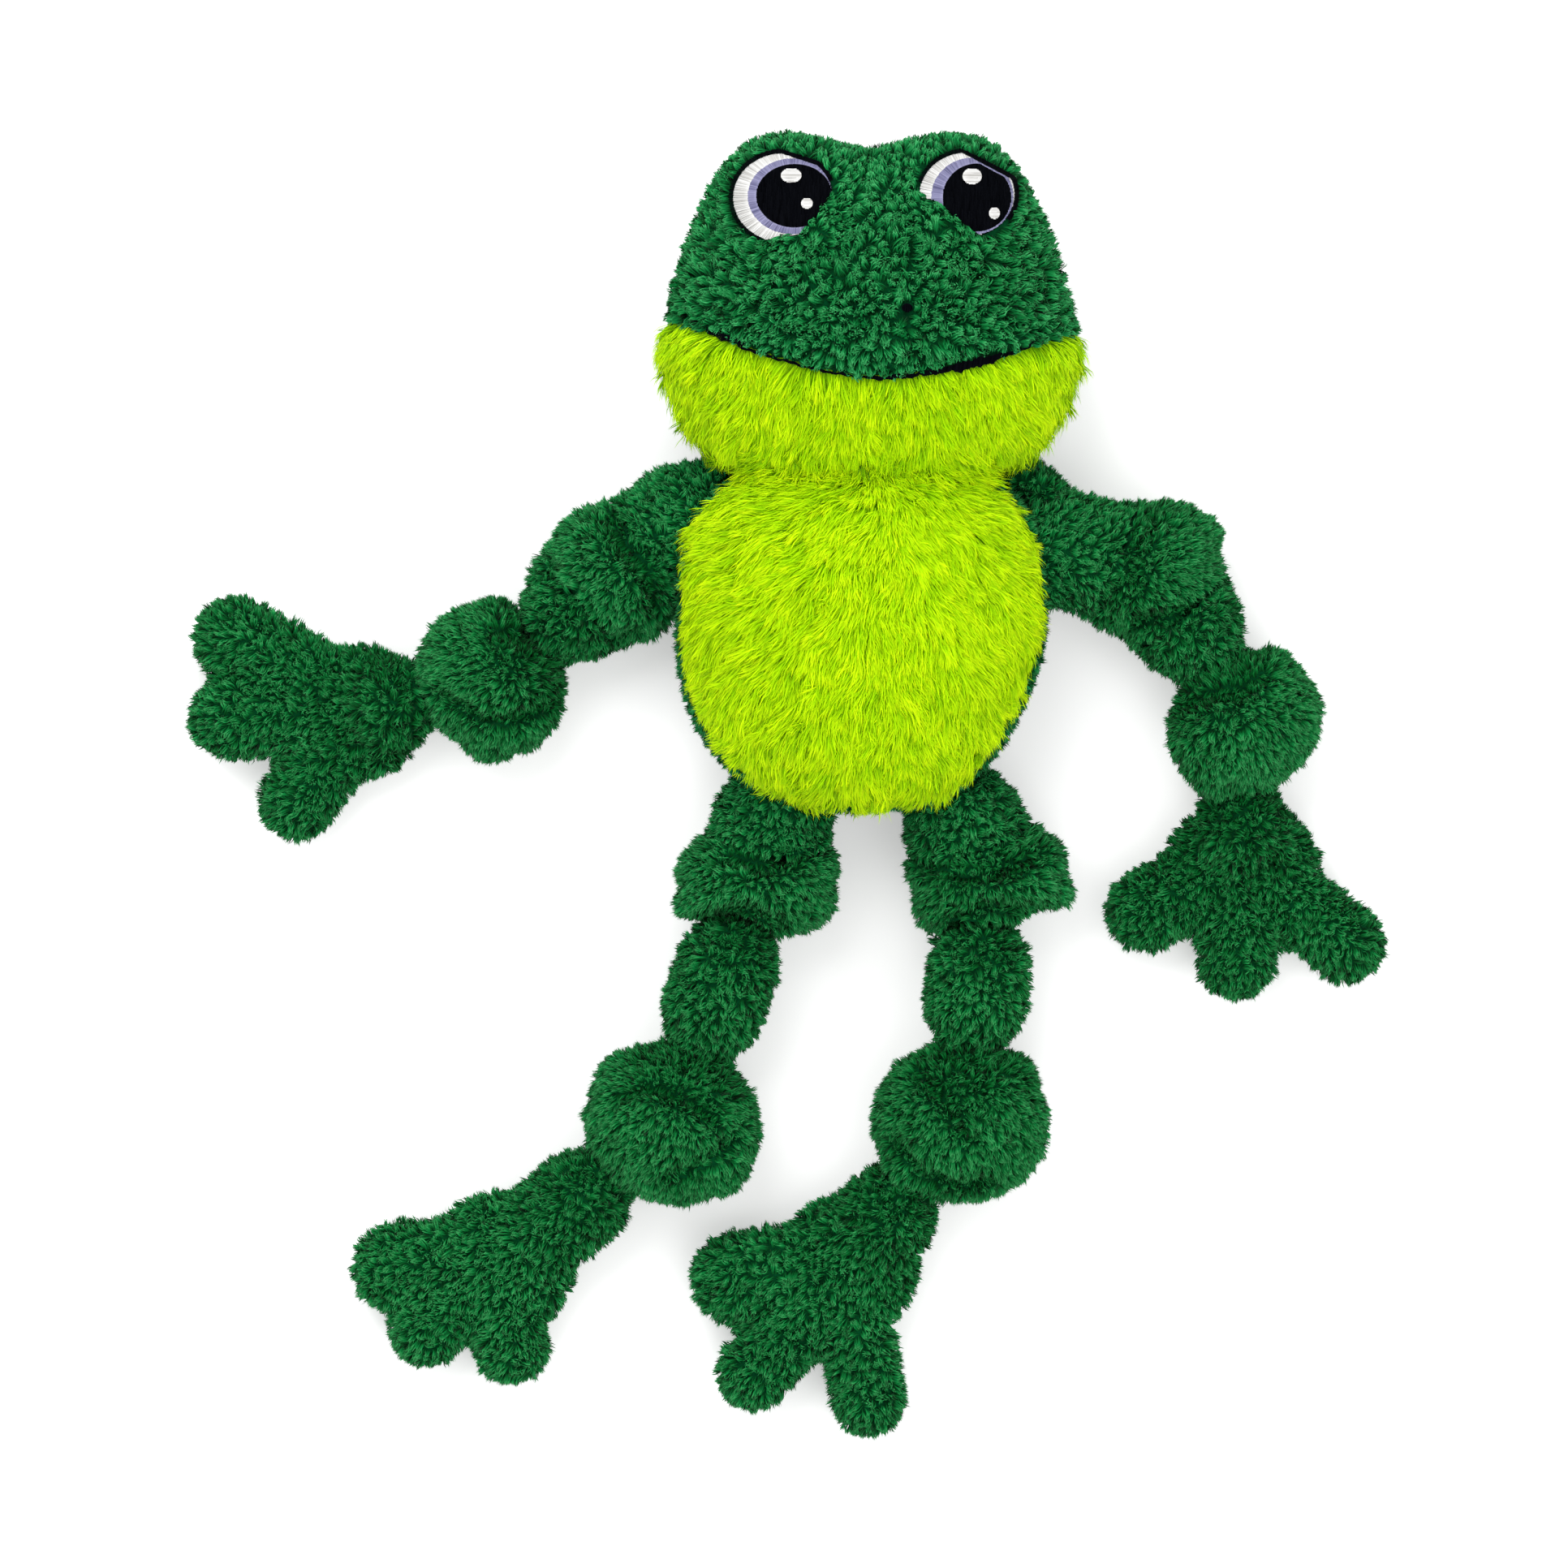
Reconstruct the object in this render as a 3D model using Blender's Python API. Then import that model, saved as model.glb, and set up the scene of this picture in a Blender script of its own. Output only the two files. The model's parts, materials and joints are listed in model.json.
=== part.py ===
"""A plush frog with knotted arms and legs, lying on its back with its limbs spread.

Metres, +Z up. X runs across the frog, Y from its feet to its head and Z from its back to its face.
The origin is under the middle of the torso, on the surface that the frog lies on.
Left and right are as seen from the front, with left at -X.
"""

import math
from collections import namedtuple

import bmesh
import bpy
from mathutils import Matrix, Vector

# Cloth, clearances and the flats that the stuffed forms rest on
SKIN = 0.003
GAP = 0.0003
SWIVEL_GAP = 0.00035
FILLING_GAP = 0.0006
REST_DEPTH = 0.0005
OVERRUN = 0.03
PIVOT_MARK_SIZE = 0.003

# Torso, an egg that is widest at TORSO_LEVEL
TORSO_LEVEL = 0.006
TORSO_HALF_WIDTH = 0.0715
TORSO_HALF_DEPTH = 0.046
TORSO_TOP = 0.0614
TORSO_BOTTOM = 0.0714
BELLY_SEAM_LIFT = 0.010

# Neck, a stuffed plug that the head turns over
NECK_SINK = 0.0046
NECK_HALF_WIDTH = 0.047
NECK_ROOM_HALF_WIDTH = 0.056
NECK_RADIUS = 0.034
NECK_SIDE_SHIFT = 0.002

# Head, widest at the corners of the mouth
HEAD_SINK = 0.0026
HEAD_HALF_WIDTH = 0.081
HEAD_HALF_DEPTH = 0.050
HEAD_TOP = 0.0732
HEAD_BOTTOM = 0.0501
HEAD_SIDE_SHIFT = 0.003
EYE_BUMP_HEIGHT = 0.0105
EYE_BUMP_WIDTH = 0.030
CHIN_SEAM_DROP = 0.006

# Face: embroidery that lies on the skin
EYE_SPACING = 0.0704
EYE_RISE = 0.0583
EYE_HALF_WIDTH = 0.0182
EYE_HALF_HEIGHT = 0.0158
THREAD_THICKNESS = 0.0012
MOUTH_HALF_WIDTH = 0.078
MOUTH_SAG = 0.0215
MOUTH_CORNER_RISE = 0.010
MOUTH_LINE_HALF_WIDTH = 0.0016
NOSTRIL_RADIUS = 0.0019
NOSTRIL_RISE = 0.0145
NOSTRIL_SIDE = 0.0138

# All limbs: the height of their axes, and of the paws
LIMB_HEIGHT = 0.030
WRIST_HEIGHT = 0.0235
PAW_HALF_HEIGHT = 0.0165

# Arms
ARM_SLEEVE_RADIUS = 0.024
ARM_SEAT_TO_KNOT = 0.034
ARM_UPPER_KNOT_HALF_LENGTH = 0.0246
ARM_UPPER_KNOT_HALF_WIDTH = 0.0315
ARM_KNOT_SPACING = 0.0625
ARM_TUBE_RADIUS = 0.0222
ARM_LOWER_KNOT_HALF_LENGTH = 0.0285
ARM_LOWER_KNOT_HALF_WIDTH = 0.0335
WRIST_RADIUS = 0.0205
HAND_REACH = 0.052
PALM_HALF_LENGTH = 0.0225
PALM_HALF_WIDTH = 0.0262
FINGER_REACH = 0.0498
FINGER_RADIUS = 0.0178

# Legs
LEG_SLEEVE_RADIUS = 0.0245
LEG_SEAT_TO_KNOT = 0.0225
LEG_UPPER_KNOT_HALF_LENGTH = 0.020
LEG_UPPER_KNOT_HALF_WIDTH = 0.0345
LEG_KNOT_SPACING = 0.0952
LEG_TUBE_RADIUS = 0.021
LEG_LOWER_KNOT_HALF_LENGTH = 0.033
LEG_LOWER_KNOT_HALF_WIDTH = 0.0373
ANKLE_RADIUS = 0.0204
FOOT_REACH = 0.0802
SOLE_HALF_LENGTH = 0.0276
SOLE_HALF_WIDTH = 0.0308
TOE_REACH = 0.0375
TOE_RADIUS = 0.0178

# How deep a rounded end sits in its socket, as the angle at its centre that the socket spans
SOCKET_HALF_ANGLE = math.radians(50)

# How blunt the stuffed eggs are, and how they taper towards their ends
TORSO_BLUNTNESS_SHARES = (2.4, 3.6)
TORSO_TAPER_SHARES = (0.0, 0.0)
TORSO_DEPTH_TAPER_SHARES = (0.0, 0.20)
HEAD_BLUNTNESS_SHARES = (3.7, 6.5)
HEAD_TAPER_SHARES = (0.14, 0.26)
HEAD_DEPTH_TAPER_SHARES = (0.30, 0.42)

# How the mouth curves and slants, and how much of its width the sewn line takes
MOUTH_CURVE_SHARE = 1.6
MOUTH_SLANT_SHARE = 0.04
MOUTH_LINE_SHARE = 0.75

# How plump a palm is beside its digits
PALM_PLUMP_SHARE = 1.08

# The wrap that lies round each knot, in shares of the knot's own half sizes
WRAP_HALF_LENGTH_SHARE = 0.42
WRAP_CORE_SHARES = (0.95, 0.95, 0.97)
WRAP_BLUNTNESS_SHARE = 3.0

# Places of the limbs' seats on the torso, as shares of its half width and of its top or bottom
# Headings are measured in degrees from +X, and spacings are shares of the limb's own lengths
Pose = namedtuple(
    "Pose", "seat_shares headings upper_wrap_tilt lower_wrap_tilt reach_shares palm_share digit_shares"
)

LIMB_POSES = {
    "left_arm": Pose(
        seat_shares=(-0.95, 0.637),
        headings=(217.8, 220.4, 193.6, 185.0),
        upper_wrap_tilt=40,
        lower_wrap_tilt=-42,
        reach_shares=(0.945, 0.987, 0.96),
        palm_share=1.05,
        digit_shares=((-34.5, 1.095, 1.06), (-2.3, 1.0, 1.02), (48.7, 0.84, 0.95)),
    ),
    "right_arm": Pose(
        seat_shares=(1.062, 0.476),
        headings=(-14.7, -60.3, -90.6, -86.7),
        upper_wrap_tilt=-34,
        lower_wrap_tilt=33,
        reach_shares=(1.115, 1.045, 1.0),
        palm_share=1.20,
        digit_shares=((-66.0, 0.79, 1.03), (-6.6, 0.73, 0.99), (48.5, 1.0, 0.96)),
    ),
    "left_leg": Pose(
        seat_shares=(-0.475, -1.062),
        headings=(255.4, 250.5, 219.6, 234.6),
        upper_wrap_tilt=30,
        lower_wrap_tilt=-23,
        reach_shares=(1.03, 1.005, 1.05),
        palm_share=0.98,
        digit_shares=((-52.3, 1.005, 1.15), (-13.6, 0.985, 0.92), (42.3, 0.82, 0.93)),
    ),
    "right_leg": Pose(
        seat_shares=(0.55, -1.074),
        headings=(-65.9, 263.0, 231.8, 242.3),
        upper_wrap_tilt=-32,
        lower_wrap_tilt=47,
        reach_shares=(1.005, 0.961, 0.861),
        palm_share=0.94,
        digit_shares=((-55.3, 1.09, 1.15), (-13.0, 1.42, 0.94), (36.4, 1.36, 0.905)),
    ),
}

# The knots that lie against the torso and are flattened by it
PRESSED_KNOTS = ("left_arm_upper_knot",)

# How finely the forms are divided
EGG_SEGMENTS = 16
EGG_RINGS = 14
NECK_SEGMENTS = 16
NECK_RINGS = 10
KNOT_SEGMENTS = 12
KNOT_RINGS = 7
WRAP_SEGMENTS = 10
WRAP_RINGS = 6
TUBE_SEGMENTS = 12
TUBE_RINGS = 7
DIGIT_SEGMENTS = 8
DIGIT_RINGS = 5
DISC_SEGMENTS = 16
CUTTER_ROUNDS = 2
FINE_CUTTER_ROUNDS = 3
SEAM_STEPS = 12

# Colours and roughness, as read from the photographed cloth
CROWN_GREEN = (0.011, 0.178, 0.052, 1.0)
LIMB_GREEN = (0.007, 0.135, 0.040, 1.0)
LIME = (0.352, 0.730, 0.002, 1.0)
FILLING_WHITE = (0.82, 0.82, 0.80, 1.0)
THREAD_BLACK = (0.006, 0.006, 0.009, 1.0)
CLOTH_ROUGHNESS = 0.95
THREAD_ROUGHNESS = 0.55


def clear_scene():
    for item in list(bpy.data.objects):
        bpy.data.objects.remove(item, do_unlink=True)


def new_collection(name):
    collection = bpy.data.collections.new(name)
    bpy.context.scene.collection.children.link(collection)
    return collection


def new_material(name, colour, roughness):
    material = bpy.data.materials.new(name)
    material.use_nodes = True
    shader = material.node_tree.nodes["Principled BSDF"]
    shader.inputs["Base Color"].default_value = colour
    shader.inputs["Roughness"].default_value = roughness
    shader.inputs["Metallic"].default_value = 0.0
    material.diffuse_color = colour
    return material


clear_scene()
FROG = new_collection("plush_frog")
CUTTERS = new_collection("cutters")


def finish_mesh(name, shape, parent, is_cutter):
    """Turns a bmesh into an object under its parent, in the frog's collection or the cutters'."""
    shape.normal_update()
    bmesh.ops.recalc_face_normals(shape, faces=shape.faces)
    mesh = bpy.data.meshes.new(name)
    shape.to_mesh(mesh)
    shape.free()
    mesh.shade_smooth()
    item = bpy.data.objects.new(name, mesh)
    (CUTTERS if is_cutter else FROG).objects.link(item)
    item.parent = parent
    if is_cutter:
        item.hide_render = True
        item.display_type = "WIRE"
    return item


def new_empty(name, parent, location, heading=0.0):
    """An empty on a joint's axis, turned so that its X runs along the limb."""
    empty = bpy.data.objects.new(name, None)
    FROG.objects.link(empty)
    empty.parent = parent
    empty.location = location
    empty.rotation_euler = (0.0, 0.0, heading)
    empty.empty_display_size = PIVOT_MARK_SIZE
    return empty


def sphere_form(name, place, parent, segments, rings, is_cutter=False, is_layered=False):
    """A closed form: every point of a unit sphere, with its poles on Z, goes where place puts it.

    Forms that lie in layers over each other are split into triangles alike, so that they stay clear.
    """
    shape = bmesh.new()
    bmesh.ops.create_uvsphere(shape, u_segments=segments, v_segments=rings, radius=1)
    if is_layered:
        bmesh.ops.triangulate(shape, faces=shape.faces, quad_method="FIXED")
    for vertex in shape.verts:
        vertex.co = place(vertex.co.copy())
    return finish_mesh(name, shape, parent, is_cutter)


def inner_share(shape):
    """How near a faceted unit sphere's flattest place comes to its centre."""
    return min(abs(face.calc_center_median().dot(face.normal)) for face in shape.faces)


def ball_cutter(name, parent, centre, half_sizes, rounds=CUTTER_ROUNDS):
    """A faceted ball whose every facet stays a gap outside the ellipsoid that turns in it."""
    shape = bmesh.new()
    bmesh.ops.create_icosphere(shape, subdivisions=rounds, radius=1)
    inner = inner_share(shape)
    for vertex in shape.verts:
        unit = vertex.co / inner
        grown = [unit[axis] * (half_sizes[axis] + SWIVEL_GAP) for axis in range(3)]
        vertex.co = Vector(centre) + Vector(grown)
    return finish_mesh(name, shape, parent, is_cutter=True)


def box_cutter(name, parent, low, high):
    shape = bmesh.new()
    bmesh.ops.create_cube(shape, size=1)
    low, high = Vector(low), Vector(high)
    for vertex in shape.verts:
        share = vertex.co + Vector((0.5, 0.5, 0.5))
        vertex.co = Vector([low[axis] + share[axis] * (high[axis] - low[axis]) for axis in range(3)])
    return finish_mesh(name, shape, parent, is_cutter=True)


def slab_cutter(name, parent, edges, steps, low, high):
    """A slab between two edges, given as a function of how far along it a point is."""
    shape = bmesh.new()
    bmesh.ops.create_grid(shape, x_segments=steps, y_segments=1, size=0.5)
    for vertex in shape.verts:
        along = vertex.co.x + 0.5
        first, second = edges(along)
        spot = first if vertex.co.y < 0 else second
        vertex.co = Vector((spot[0], spot[1], low))
    made = bmesh.ops.extrude_face_region(shape, geom=list(shape.faces))
    for vertex in made["geom"]:
        if isinstance(vertex, bmesh.types.BMVert):
            vertex.co.z = high
    return finish_mesh(name, shape, parent, is_cutter=True)


def combine(item, cutter, operation="DIFFERENCE"):
    modifier = item.modifiers.new(cutter.name, "BOOLEAN")
    modifier.object = cutter
    modifier.operation = operation
    modifier.solver = "EXACT"


# Forms

Egg = namedtuple("Egg", "half_width half_depth top bottom bluntness taper depth_taper")

TORSO = Egg(
    TORSO_HALF_WIDTH,
    TORSO_HALF_DEPTH,
    TORSO_TOP,
    TORSO_BOTTOM,
    TORSO_BLUNTNESS_SHARES,
    TORSO_TAPER_SHARES,
    TORSO_DEPTH_TAPER_SHARES,
)
HEAD = Egg(
    HEAD_HALF_WIDTH,
    HEAD_HALF_DEPTH,
    HEAD_TOP,
    HEAD_BOTTOM,
    HEAD_BLUNTNESS_SHARES,
    HEAD_TAPER_SHARES,
    HEAD_DEPTH_TAPER_SHARES,
)


def blunt(unit, bluntness):
    """How far out and how far along a blunt ellipsoid's point is that lies in a unit point's direction."""
    out = math.hypot(unit.x, unit.y)
    along = abs(unit.z)
    reach = (out**bluntness + along**bluntness) ** (-1 / bluntness)
    return out * reach, along * reach


def egg_point(egg, unit, grow):
    """A point of a blunt egg that stands along Y, from the unit sphere's point with its poles on Z."""
    upper = unit.z > 0
    girth, rise = blunt(unit, egg.bluntness[upper])
    length = (egg.top if upper else egg.bottom) + grow
    ring = math.atan2(unit.y, unit.x)
    width = (egg.half_width + grow) * girth * (1 - egg.taper[upper] * rise)
    depth = (egg.half_depth + grow) * girth * (1 - egg.depth_taper[upper] * rise)
    return Vector((width * math.cos(ring), math.copysign(rise * length, unit.z), -depth * math.sin(ring)))


def torso_form(name, parent, grow=0.0, is_cutter=False):
    def place(unit):
        return egg_point(TORSO, unit, grow)

    return sphere_form(name, place, parent, EGG_SEGMENTS, EGG_RINGS, is_cutter, is_layered=True)


def head_form(name, parent, grow=0.0, is_cutter=False):
    """The head's egg, with a bump over each eye and a notch between them."""

    def place(unit):
        point = egg_point(HEAD, unit, grow)
        rise = max(0.0, point.y / HEAD_TOP)
        off_side = (abs(point.x) - EYE_SPACING / 2) / EYE_BUMP_WIDTH
        point.y += EYE_BUMP_HEIGHT * rise**2 * math.exp(-(off_side**2))
        return point

    return sphere_form(name, place, parent, EGG_SEGMENTS, EGG_RINGS, is_cutter, is_layered=True)


def tube_form(name, parent, start, end, start_half, end_half, segments, rings, is_cutter=False):
    """A stuffed tube with a half ball at each end, of an odd number of rings.

    A half is a half width and a half height.
    """
    start, end = Vector(start), Vector(end)
    along = (end - start).normalized()
    side = Vector((0, 0, 1)).cross(along).normalized()
    up = along.cross(side)

    def place(unit):
        middle, half = (end, end_half) if unit.z > 0 else (start, start_half)
        return middle + along * unit.z * half[0] + side * unit.x * half[0] + up * unit.y * half[1]

    return sphere_form(name, place, parent, segments, rings, is_cutter)


def ellipsoid_form(name, parent, centre, half_sizes, is_cutter=False):
    def place(unit):
        spot = Vector((unit.z, unit.y, unit.x))
        return Vector(centre) + Vector([spot[axis] * half_sizes[axis] for axis in range(3)])

    return sphere_form(name, place, parent, KNOT_SEGMENTS, KNOT_RINGS, is_cutter)


def knot_core(name, parent, centre, half_sizes, grow=0.0, is_cutter=False):
    grown = [half_sizes[axis] * WRAP_CORE_SHARES[axis] + grow for axis in range(3)]
    return ellipsoid_form(name, parent, centre, grown, is_cutter)


def knot_wrap(name, parent, centre, half_sizes, tilt, grow=0.0):
    """The turn of tube that lies round a knot: a blunt ring, tilted across the limb."""
    turned = Matrix.Rotation(math.radians(tilt), 3, "Z")
    length = half_sizes[0] * WRAP_HALF_LENGTH_SHARE + grow

    def place(unit):
        girth, rise = blunt(unit, WRAP_BLUNTNESS_SHARE)
        ring = math.atan2(unit.y, unit.x)
        along = math.copysign(rise, unit.z) * length
        across = (half_sizes[1] + grow) * girth * math.cos(ring)
        above = (half_sizes[2] + grow) * girth * math.sin(ring)
        return Vector(centre) + turned @ Vector((along, across, above))

    return sphere_form(name, place, parent, WRAP_SEGMENTS, WRAP_RINGS, is_cutter=True)


def socket_reach(radius):
    """How far a rounded end's centre stands off the piece that its socket is cut in."""
    return radius * math.cos(SOCKET_HALF_ANGLE)


# Materials

CROWN_CLOTH = new_material("crown_curled_fleece", CROWN_GREEN, CLOTH_ROUGHNESS)
LIMB_CLOTH = new_material("limb_curled_fleece", LIMB_GREEN, CLOTH_ROUGHNESS)
LIME_CLOTH = new_material("lime_long_pile", LIME, CLOTH_ROUGHNESS)
FILLING = new_material("fibre_filling", FILLING_WHITE, CLOTH_ROUGHNESS)
THREAD = new_material("black_thread", THREAD_BLACK, THREAD_ROUGHNESS)


def dress(item, material):
    item.data.materials.append(material)
    return item


# Where the large forms stand

TORSO_HEIGHT = TORSO_HALF_DEPTH - REST_DEPTH
HEAD_HEIGHT = HEAD_HALF_DEPTH - REST_DEPTH
NECK_LEVEL = TORSO_LEVEL + TORSO_TOP - NECK_SINK
HEAD_LEVEL = NECK_LEVEL + HEAD_BOTTOM - HEAD_SINK
MOUTH_CORNER_LEVEL = HEAD_LEVEL + MOUTH_CORNER_RISE
REACH = HEAD_LEVEL + HEAD_TOP

ROOT = new_empty("torso_body", None, (0, 0, 0))
FLOOR = box_cutter(
    "floor_cutter",
    None,
    (-2 * REACH, -2 * REACH, -OVERRUN),
    (2 * REACH, 2 * REACH, 0),
)


def rest_on_floor(item):
    combine(item, FLOOR)


def build_neck():
    """The stuffed plug of the neck, round about the axis that the head nods on."""
    half_sizes = (NECK_HALF_WIDTH, NECK_RADIUS, NECK_RADIUS)

    def place(unit):
        return Vector((unit.z * half_sizes[0], unit.x * half_sizes[1], unit.y * half_sizes[2]))

    pivot = new_empty("neck_pivot", ROOT, (NECK_SIDE_SHIFT, NECK_LEVEL, TORSO_HEIGHT))
    neck = sphere_form("neck_stuffing", place, pivot, NECK_SEGMENTS, NECK_RINGS)
    dress(neck, FILLING)
    room_sizes = (NECK_ROOM_HALF_WIDTH, NECK_RADIUS, NECK_RADIUS)
    return pivot, ball_cutter("neck_cutter", pivot, (0, 0, 0), room_sizes, FINE_CUTTER_ROUNDS)


def build_torso(neck_cutter, limbs):
    middle = new_empty("torso_middle", ROOT, (0, TORSO_LEVEL, TORSO_HEIGHT))
    hollow = torso_form("torso_hollow_cutter", middle, -SKIN, is_cutter=True)
    far = REACH + OVERRUN
    front = box_cutter("belly_seam_cutter", middle, (-far, -far, BELLY_SEAM_LIFT), (far, far, far))
    behind = box_cutter("back_seam_cutter", middle, (-far, -far, BELLY_SEAM_LIFT - GAP), (far, far, far))

    back = dress(torso_form("torso_back", middle), LIMB_CLOTH)
    combine(back, hollow)
    combine(back, behind)
    rest_on_floor(back)

    belly = dress(torso_form("belly_panel", middle), LIME_CLOTH)
    combine(belly, hollow)
    combine(belly, front, "INTERSECT")

    filling = dress(torso_form("torso_stuffing", middle, -SKIN - FILLING_GAP), FILLING)
    for item in (back, belly, filling):
        combine(item, neck_cutter)
    pressed = torso_form("torso_cutter", middle, GAP, is_cutter=True)
    for upper_knot, seat in limbs:
        for cutter in seat:
            combine(back, cutter)
            combine(filling, cutter)
        if upper_knot.name in PRESSED_KNOTS:
            combine(upper_knot, pressed)


def mouth_edge(along, width_share, drop):
    """A point of the mouth's arc, from its left end to its right one, seen from the front."""
    across = (2 * along - 1) * MOUTH_HALF_WIDTH * width_share
    sag = MOUTH_SAG * (1 - abs(across / MOUTH_HALF_WIDTH) ** MOUTH_CURVE_SHARE)
    return Vector((across, MOUTH_CORNER_RISE - sag - drop - across * MOUTH_SLANT_SHARE))


def build_head(pivot, neck_cutter):
    centre = (HEAD_SIDE_SHIFT - NECK_SIDE_SHIFT, HEAD_LEVEL - NECK_LEVEL, HEAD_HEIGHT - TORSO_HEIGHT)
    turning = new_empty("head_body", pivot, (0, 0, 0))
    middle = new_empty("head_middle", turning, centre)
    far = HEAD_HALF_WIDTH + OVERRUN
    beyond_share = far / MOUTH_HALF_WIDTH

    def chin_edges(along, gap):
        across = (2 * along - 1) * MOUTH_HALF_WIDTH * beyond_share
        return (across, -far), mouth_edge(along, beyond_share, -gap)

    chin_cutter = slab_cutter(
        "chin_seam_cutter", middle, lambda along: chin_edges(along, 0), SEAM_STEPS, -CHIN_SEAM_DROP, far
    )
    crown_cutter = slab_cutter(
        "crown_seam_cutter",
        middle,
        lambda along: chin_edges(along, GAP),
        SEAM_STEPS,
        -CHIN_SEAM_DROP - GAP,
        far,
    )
    hollow = head_form("head_hollow_cutter", middle, -SKIN, is_cutter=True)

    crown = dress(head_form("head_crown", middle), CROWN_CLOTH)
    combine(crown, hollow)
    combine(crown, crown_cutter)
    rest_on_floor(crown)

    chin = dress(head_form("chin_panel", middle), LIME_CLOTH)
    combine(chin, hollow)
    combine(chin, chin_cutter, "INTERSECT")

    filling = dress(head_form("head_stuffing", middle, -SKIN - FILLING_GAP), FILLING)
    for item in (crown, chin, filling):
        combine(item, neck_cutter)
    return middle


def build_face(middle):
    """Embroidery: each patch is the layer just over the skin, cut to its outline."""
    skin = head_form("skin_cutter", middle, GAP, is_cutter=True)
    far = HEAD_HALF_DEPTH + OVERRUN
    front = far / 2

    def patch(name, outline_cutter):
        item = dress(head_form(name, middle, GAP + THREAD_THICKNESS), THREAD)
        combine(item, outline_cutter, "INTERSECT")
        combine(item, skin)

    def disc(name, half_width, half_height, across, rise):
        shape = bmesh.new()
        bmesh.ops.create_cone(
            shape, cap_ends=True, segments=DISC_SEGMENTS, radius1=1, radius2=1, depth=far
        )
        for vertex in shape.verts:
            spot = vertex.co
            vertex.co = Vector((across + spot.x * half_width, rise + spot.y * half_height, spot.z + front))
        return finish_mesh(name, shape, middle, is_cutter=True)

    for side, sign in (("left", -1), ("right", 1)):
        across = sign * EYE_SPACING / 2
        cutter = disc(f"eye_{side}_cutter", EYE_HALF_WIDTH, EYE_HALF_HEIGHT, across, EYE_RISE)
        patch(f"eye_{side}", cutter)
    patch("nostril", disc("nostril_cutter", NOSTRIL_RADIUS, NOSTRIL_RADIUS, NOSTRIL_SIDE, NOSTRIL_RISE))

    def line_edges(along):
        share = MOUTH_LINE_SHARE
        return (
            mouth_edge(along, share, MOUTH_LINE_HALF_WIDTH),
            mouth_edge(along, share, -MOUTH_LINE_HALF_WIDTH),
        )

    patch("mouth_line", slab_cutter("mouth_line_cutter", middle, line_edges, SEAM_STEPS, 0, far))


# Limbs

Knot = namedtuple("Knot", "centre half_sizes tilt")


def build_knot(name, parent, knot):
    """A knot in the tube: its rounded lobe and the wrap that crosses it."""
    item = dress(knot_core(name, parent, knot.centre, knot.half_sizes), LIMB_CLOTH)
    wrap = knot_wrap(f"{name}_wrap_cutter", parent, knot.centre, knot.half_sizes, knot.tilt)
    combine(item, wrap, "UNION")
    rest_on_floor(item)
    return item


def cut_by_knot(item, name, parent, knot):
    """Cuts a tube back to where the knot's surface is, with a gap between them."""
    core = knot_core(f"{name}_core_cutter", parent, knot.centre, knot.half_sizes, GAP, is_cutter=True)
    combine(item, core)
    combine(item, knot_wrap(f"{name}_wrap_cutter", parent, knot.centre, knot.half_sizes, knot.tilt, GAP))


def inside_knot(knot, radius):
    """Where a sleeve's rounded end is, so that it stays inside its knot."""
    return Vector((knot.centre.x + knot.half_sizes[0] * WRAP_CORE_SHARES[0] - radius - SKIN, 0, 0))


def cut_socket(item, parent, centre, radius):
    combine(item, ball_cutter(f"{item.name}_socket_cutter", parent, centre, (radius,) * 3))


def seat_cutters(name, seat, end, radius):
    """What a sleeve takes out of the torso: a socket for its rounded end, and room for it at rest."""
    half = (radius + SWIVEL_GAP,) * 2
    room = tube_form(
        f"{name}_seat_room_cutter", seat, (0, 0, 0), end, half, half, TUBE_SEGMENTS, TUBE_RINGS, True
    )
    return ball_cutter(f"{name}_seat_cutter", seat, (0, 0, 0), (radius,) * 3, FINE_CUTTER_ROUNDS), room


def build_paw(name, wrist, heading, palm_reach, palm_half, digit_reach, digit_radius, wrist_radius, digits):
    """A hand or foot: a wrist that turns in the lower knot, a palm and three rounded digits."""
    drop = WRIST_HEIGHT - (PAW_HALF_HEIGHT - REST_DEPTH)
    palm_centre = Vector((palm_reach, 0, -drop))
    start_half = (wrist_radius, wrist_radius)
    palm_end = (wrist_radius, PAW_HALF_HEIGHT)
    item = tube_form(name, wrist, (0, 0, 0), palm_centre, start_half, palm_end, TUBE_SEGMENTS, TUBE_RINGS)
    dress(item, LIMB_CLOTH)
    palm_sizes = (palm_half[0], palm_half[1], PAW_HALF_HEIGHT * PALM_PLUMP_SHARE)
    palm = ellipsoid_form(f"{name}_palm_cutter", wrist, palm_centre, palm_sizes, is_cutter=True)
    combine(item, palm, "UNION")
    for number, (turn, reach_share, width_share) in enumerate(digits, start=1):
        angle = heading + math.radians(turn)
        reach = digit_reach * reach_share
        tip = palm_centre + reach * Vector((math.cos(angle), math.sin(angle), 0))
        half = (digit_radius * width_share, PAW_HALF_HEIGHT)
        digit_name = f"{name}_digit_{number}_cutter"
        digit = tube_form(digit_name, wrist, palm_centre, tip, half, half, DIGIT_SEGMENTS, DIGIT_RINGS, True)
        combine(item, digit, "UNION")
    rest_on_floor(item)


def seat_of(pose):
    across, level = pose.seat_shares
    length = TORSO_TOP if level > 0 else TORSO_BOTTOM
    return Vector((across * TORSO_HALF_WIDTH, TORSO_LEVEL + level * length, LIMB_HEIGHT))


def headings_of(pose):
    return [math.radians(heading) for heading in pose.headings]


def knot_height():
    return LIMB_HEIGHT + REST_DEPTH


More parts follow.
